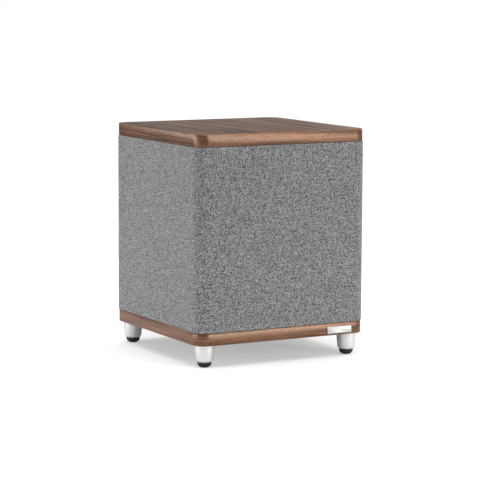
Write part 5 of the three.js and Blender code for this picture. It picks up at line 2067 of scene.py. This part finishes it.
    def power(self) -> None:
        """The rocker switch, its bezel, and the two marks on the rocker's face."""
        refined("power_switch", PLASTIC, "root", 0.45, "power_switch_bezel")
        rocker = refined("power_rocker", PLASTIC, "power_button", 0.35, "power_rocker_moulded")
        low, high = self.local("power_rocker")
        middle = (low + high) / 2
        bm = bmesh.new()
        bm.from_mesh(rocker.data)
        tree = BVHTree.FromBMesh(bm)
        bm.free()
        bar = [(middle.x + x, low.y + y) for x, y in ((-0.4, 3.2), (0.4, 3.2), (0.4, 6.6), (-0.4, 6.6))]
        line = prism("power_marks", bar, 0.0, self.print_height, self.frame_of)
        ring = prism("ring", circle(1.9, middle.x, high.y - 4.6, 32), 0.0, self.print_height, self.frame_of)
        carved(ring, [prism("cut", circle(1.2, middle.x, high.y - 4.6, 32), -1.0, 1.0, self.frame_of)])
        piece = joined_pieces(line, [ring])
        inverse, out = self.frame_of.inverted(), (self.frame_of.to_3x3() @ Vector((0, 0, 1))).normalized()
        for vertex in piece.data.vertices:
            spot = inverse @ vertex.co / MM
            above = self.frame_of @ (Vector((spot.x, spot.y, 12.0)) * MM)
            hit = tree.ray_cast(above, -out)[0]
            vertex.co = hit + out * (spot.z - 0.02) * MM
        dressed(piece, PRINT, "power_button", slot="black_plastic")

    def inlet(self) -> None:
        """The mains inlet, with bright blades in a black shell."""
        piece = refined("mains_inlet", PLASTIC, "root", 0.3, "mains_inlet_moulded")
        low, high = self.local("mains_inlet")
        middle, inverse = (low + high) / 2, self.frame_of.inverted()
        floor = high.z - self.inlet_depth

        def blade(centre: Vector, normal: Vector) -> bool:
            """Whether a face belongs to a blade, in the cavity or behind it.

            Args:
                centre: The face's middle.
                normal: Its normal.

            Returns:
                True for a blade's face.
            """
            spot = inverse @ centre / MM
            across = min(abs(spot.x - middle.x - step * self.blade_pitch) for step in (-1, 0, 1))
            deep = floor + 0.3 < spot.z < high.z - 1.5 or spot.z < floor - 5.0
            return across < 1.3 and abs(spot.y - middle.y) < 4.4 and deep

        paint_faces(piece, STEEL, blade)

    def sockets(self) -> None:
        """Two gilt phono sockets, one with a white and one with a red insert."""
        for node, insert in (("rca_left", WHITE_INSERT), ("rca_right", RED_INSERT)):
            low, high = self.local(node)
            barrel, seat, back, hole = 4.15, 6.0, 5.2, 1.6
            profile = [(0, low.z), *softened([
                (0, low.z), (back, low.z), (back, -2.8), (barrel, -2.8), (barrel, self.seat), (seat, self.seat),
                (seat, self.seat + 1.0), (barrel, self.seat + 1.0), (barrel, high.z), (barrel - 0.55, high.z),
                (barrel - 0.55, high.z - 0.6), (hole + 0.25, high.z - 0.6), (hole, high.z - 0.9), (hole, 0.0),
                (0, 0.0),
            ], 0.14, closed=False, steps=2)[1:]]
            piece = turned(node + "_gilt", profile, self.at(node), 64)
            dressed(eased(piece, 0, angle=40), GOLD, "root", node)
            inverse, face = self.at(node).inverted(), high.z

            def inner(centre: Vector, normal: Vector) -> bool:
                """Whether a face belongs to the coloured insert."""
                spot = inverse @ centre / MM
                radius = math.hypot(spot.x, spot.y)
                return 1.7 < radius < barrel - 0.5 and spot.z > face - 1.5

            paint_faces(piece, insert, inner)

    def lamp(self) -> None:
        """The status lamp's domed lens."""
        low, high = self.local("status_led")
        flange, radius, behind = 2.4, 1.5, -2.8
        angles = [math.pi / 2 * i / 10 for i in range(11)]
        dome = [(radius * math.cos(a), high.z - radius + radius * math.sin(a)) for a in angles]
        profile = [(0, low.z), (flange - 0.3, low.z), (flange, low.z + 0.3), (flange, behind),
                   (radius, behind), *dome]
        piece = turned("status_led_lens", profile, self.at("status_led"), 40)
        dressed(eased(piece, 0, angle=50), LAMP, "root", "status_led")

    def marks(self) -> None:
        """Plain dials: ticks round both knobs and a few figures, printed on the plate."""
        near, far, width = self.dial
        pieces = []
        high = self.print_height
        for control, figures in (("level", ("0", "10")), ("crossover", ("50", "150"))):
            spot = self.centre(f"{control}_knob")
            for i in range(self.dial_ticks):
                turn = math.radians(-self.dial_turn + 2 * self.dial_turn * i / (self.dial_ticks - 1))
                end = far if i in (0, self.dial_ticks // 2, self.dial_ticks - 1) else far - 0.8
                out, side = Vector((math.sin(turn), math.cos(turn))), Vector((math.cos(turn), -math.sin(turn)))
                base = Vector((spot.x, spot.y))
                ends = ((near, -1), (near, 1), (end, 1), (end, -1))
                corners = [base + out * r + side * s * width / 2 for r, s in ends]
                pieces.append(prism("tick", [tuple(c) for c in corners], -0.01, high, self.frame_of))
            for figure, way in zip(figures, (-1, 1)):
                pieces.append(self.figure(figure, spot.x + way * 8.8, spot.y - 15.0))
        slider = self.centre("phase_slider")
        travel = frame_travel("phase_slide")
        for figure, x in (("0", slider.x - 1.5), ("180", slider.x + travel + 1.5)):
            pieces.append(self.figure(figure, x, slider.y - 7.5))
        piece = joined_pieces(pieces[0], pieces[1:])
        piece.name = piece.data.name = "plate_marks"
        dressed(piece, PRINT, "root", slot="plate_paint")

    def figure(self, text: str, x: float, y: float) -> Piece:
        """A figure printed on the plate, centred on a place.

        Args:
            text: The figure.
            x: The place's X in the plate's frame.
            y: Its Y.

        Returns:
            The piece.
        """
        curve = bpy.data.curves.new("figure", "FONT")
        curve.body, curve.size, curve.extrude = text, self.figure_size * MM, self.print_height * MM / 2
        curve.align_x, curve.align_y, curve.resolution_u = "CENTER", "CENTER", 3
        holder = linked("figure", curve)
        bpy.context.view_layer.update()
        mesh = bpy.data.meshes.new_from_object(holder.evaluated_get(bpy.context.evaluated_depsgraph_get()))
        bpy.data.objects.remove(holder, do_unlink=True)
        mesh.transform(self.frame_of @ Matrix.Translation((x * MM, y * MM, self.print_height * MM / 2)))
        return linked("figure", mesh)

    def screws(self) -> None:
        """Four screws at the plate's corners, each turned a little differently."""
        for i in range(1, 5):
            node = f"amp_screw_{i}"
            low, high = self.local(node)
            seat = high.z - Screw.head_height
            turn = Matrix.Rotation(math.radians(15 + 40 * i), 4, "Z")
            place = self.at(node) @ Matrix.Translation((0, 0, seat * MM)) @ turn
            piece = Screw().piece(node + "_turned", seat - low.z, place)
            dressed(piece, BLACK_STEEL, "root", node)

    def circuit(self) -> None:
        """The circuit board with its components, each kind in its own finish."""
        piece = refined("circuit_board", BOARD, "root", 0.25, "circuit_board_loaded")
        inverse, front, back = self.frame_of.inverted(), 0.3 - self.board_behind, -1.9 - self.board_behind
        paint_faces(piece, PLASTIC, lambda centre, normal: (inverse @ centre / MM).z < back)
        paint_faces(piece, STEEL, lambda centre, normal: (inverse @ centre / MM).z > front)

    def transformer(self) -> None:
        """A taped toroid, its washer and its hexagon-headed bolt, on the left wall."""
        low, high = box_mm("transformer")
        middle, radius = (low + high) / 2, (high.y - low.y) / 2
        inward = Matrix(((0, 0, 1, 0), (0, 1, 0, middle.y * MM), (-1, 0, 0, middle.z * MM), (0, 0, 0, 1)))
        profile = softened([(13.0, low.x), (radius, low.x), (radius, high.x), (13.0, high.x)], 9.0, steps=10)
        piece = turned("transformer_wound", profile, inward, 120, closed=True,
                       flute=lambda r, z, a: r - 0.25 * (0.5 + 0.5 * math.cos(40 * a)) * (r > 20))
        dressed(eased(piece, 0, angle=60), TAPE, "root", "transformer")
        low, high = box_mm("transformer_bolt")
        washer, head, shank = (high.y - low.y) / 2, 5.5, 3.0
        seat = high.x - 6.0
        flat = math.cos(math.pi / 6)

        def hexagon(r: float, z: float, a: float) -> float:
            """Six flats on the bolt's head."""
            if z < seat + 2.05 or r < head - 0.6:
                return r
            return min(r, head * flat / math.cos((a % (math.pi / 3)) - math.pi / 6))

        profile = softened([(0, low.x), (shank, low.x), (shank, seat), (washer, seat), (washer, seat + 2),
                            (head, seat + 2), (head, high.x), (0, high.x)], 0.4, closed=False)
        piece = turned("transformer_bolt_turned", profile, inward, 96, flute=hexagon)
        dressed(eased(piece, 0, angle=30), STEEL, "root", "transformer_bolt")

    def lead(self) -> None:
        """The driver's sleeved lead, along the CAD's own route."""
        bm = bmesh.new()
        bm.from_mesh(frame["nodes"]["driver_lead"].data)
        bmesh.ops.remove_doubles(bm, verts=bm.verts, dist=1e-6)
        bmesh.ops.join_triangles(bm, faces=bm.faces, angle_face_threshold=1.0, angle_shape_threshold=1.5)
        bm.transform(Matrix.Scale(1 / MM, 4))
        piece = new_piece("driver_lead_sleeved", bm)
        smooth = piece.modifiers.new("smooth", "SUBSURF")
        smooth.levels = smooth.render_levels = 2
        settle(piece)
        dressed(eased(piece, 0, angle=70), SLEEVE, "root", "driver_lead")


def frame_travel(joint: str) -> float:
    """A slide's whole travel in millimetres.

    Args:
        joint: The joint's name.

    Returns:
        The travel.
    """
    found = next(j for j in frame["joints"] if j["name"] == joint)
    low, high = found["range_m"]
    return (high - low) / MM


def joined_pieces(first: Piece, others: Sequence[Piece]) -> Piece:
    """Puts the others' meshes into the first's and removes them.

    Args:
        first: The piece that stays.
        others: The pieces that go into it.

    Returns:
        The first piece.
    """
    bm = bmesh.new()
    bm.from_mesh(first.data)
    for other in others:
        bm.from_mesh(other.data)
        bpy.data.objects.remove(other, do_unlink=True)
    bmesh.ops.remove_doubles(bm, verts=bm.verts, dist=1e-4 * MM)
    bm.to_mesh(first.data)
    bm.free()
    return first


def main() -> None:
    """Builds the sub-assemblies in order."""
    logging.basicConfig(level=logging.INFO, format="%(name)s: %(message)s")
    for assembly in (Studio(), Cabinet(), Feet(), Driver(), Amplifier()):
        LOG.info("building %s", type(assembly).__name__.lower())
        assembly.build()


if __name__ == "__main__":
    main()
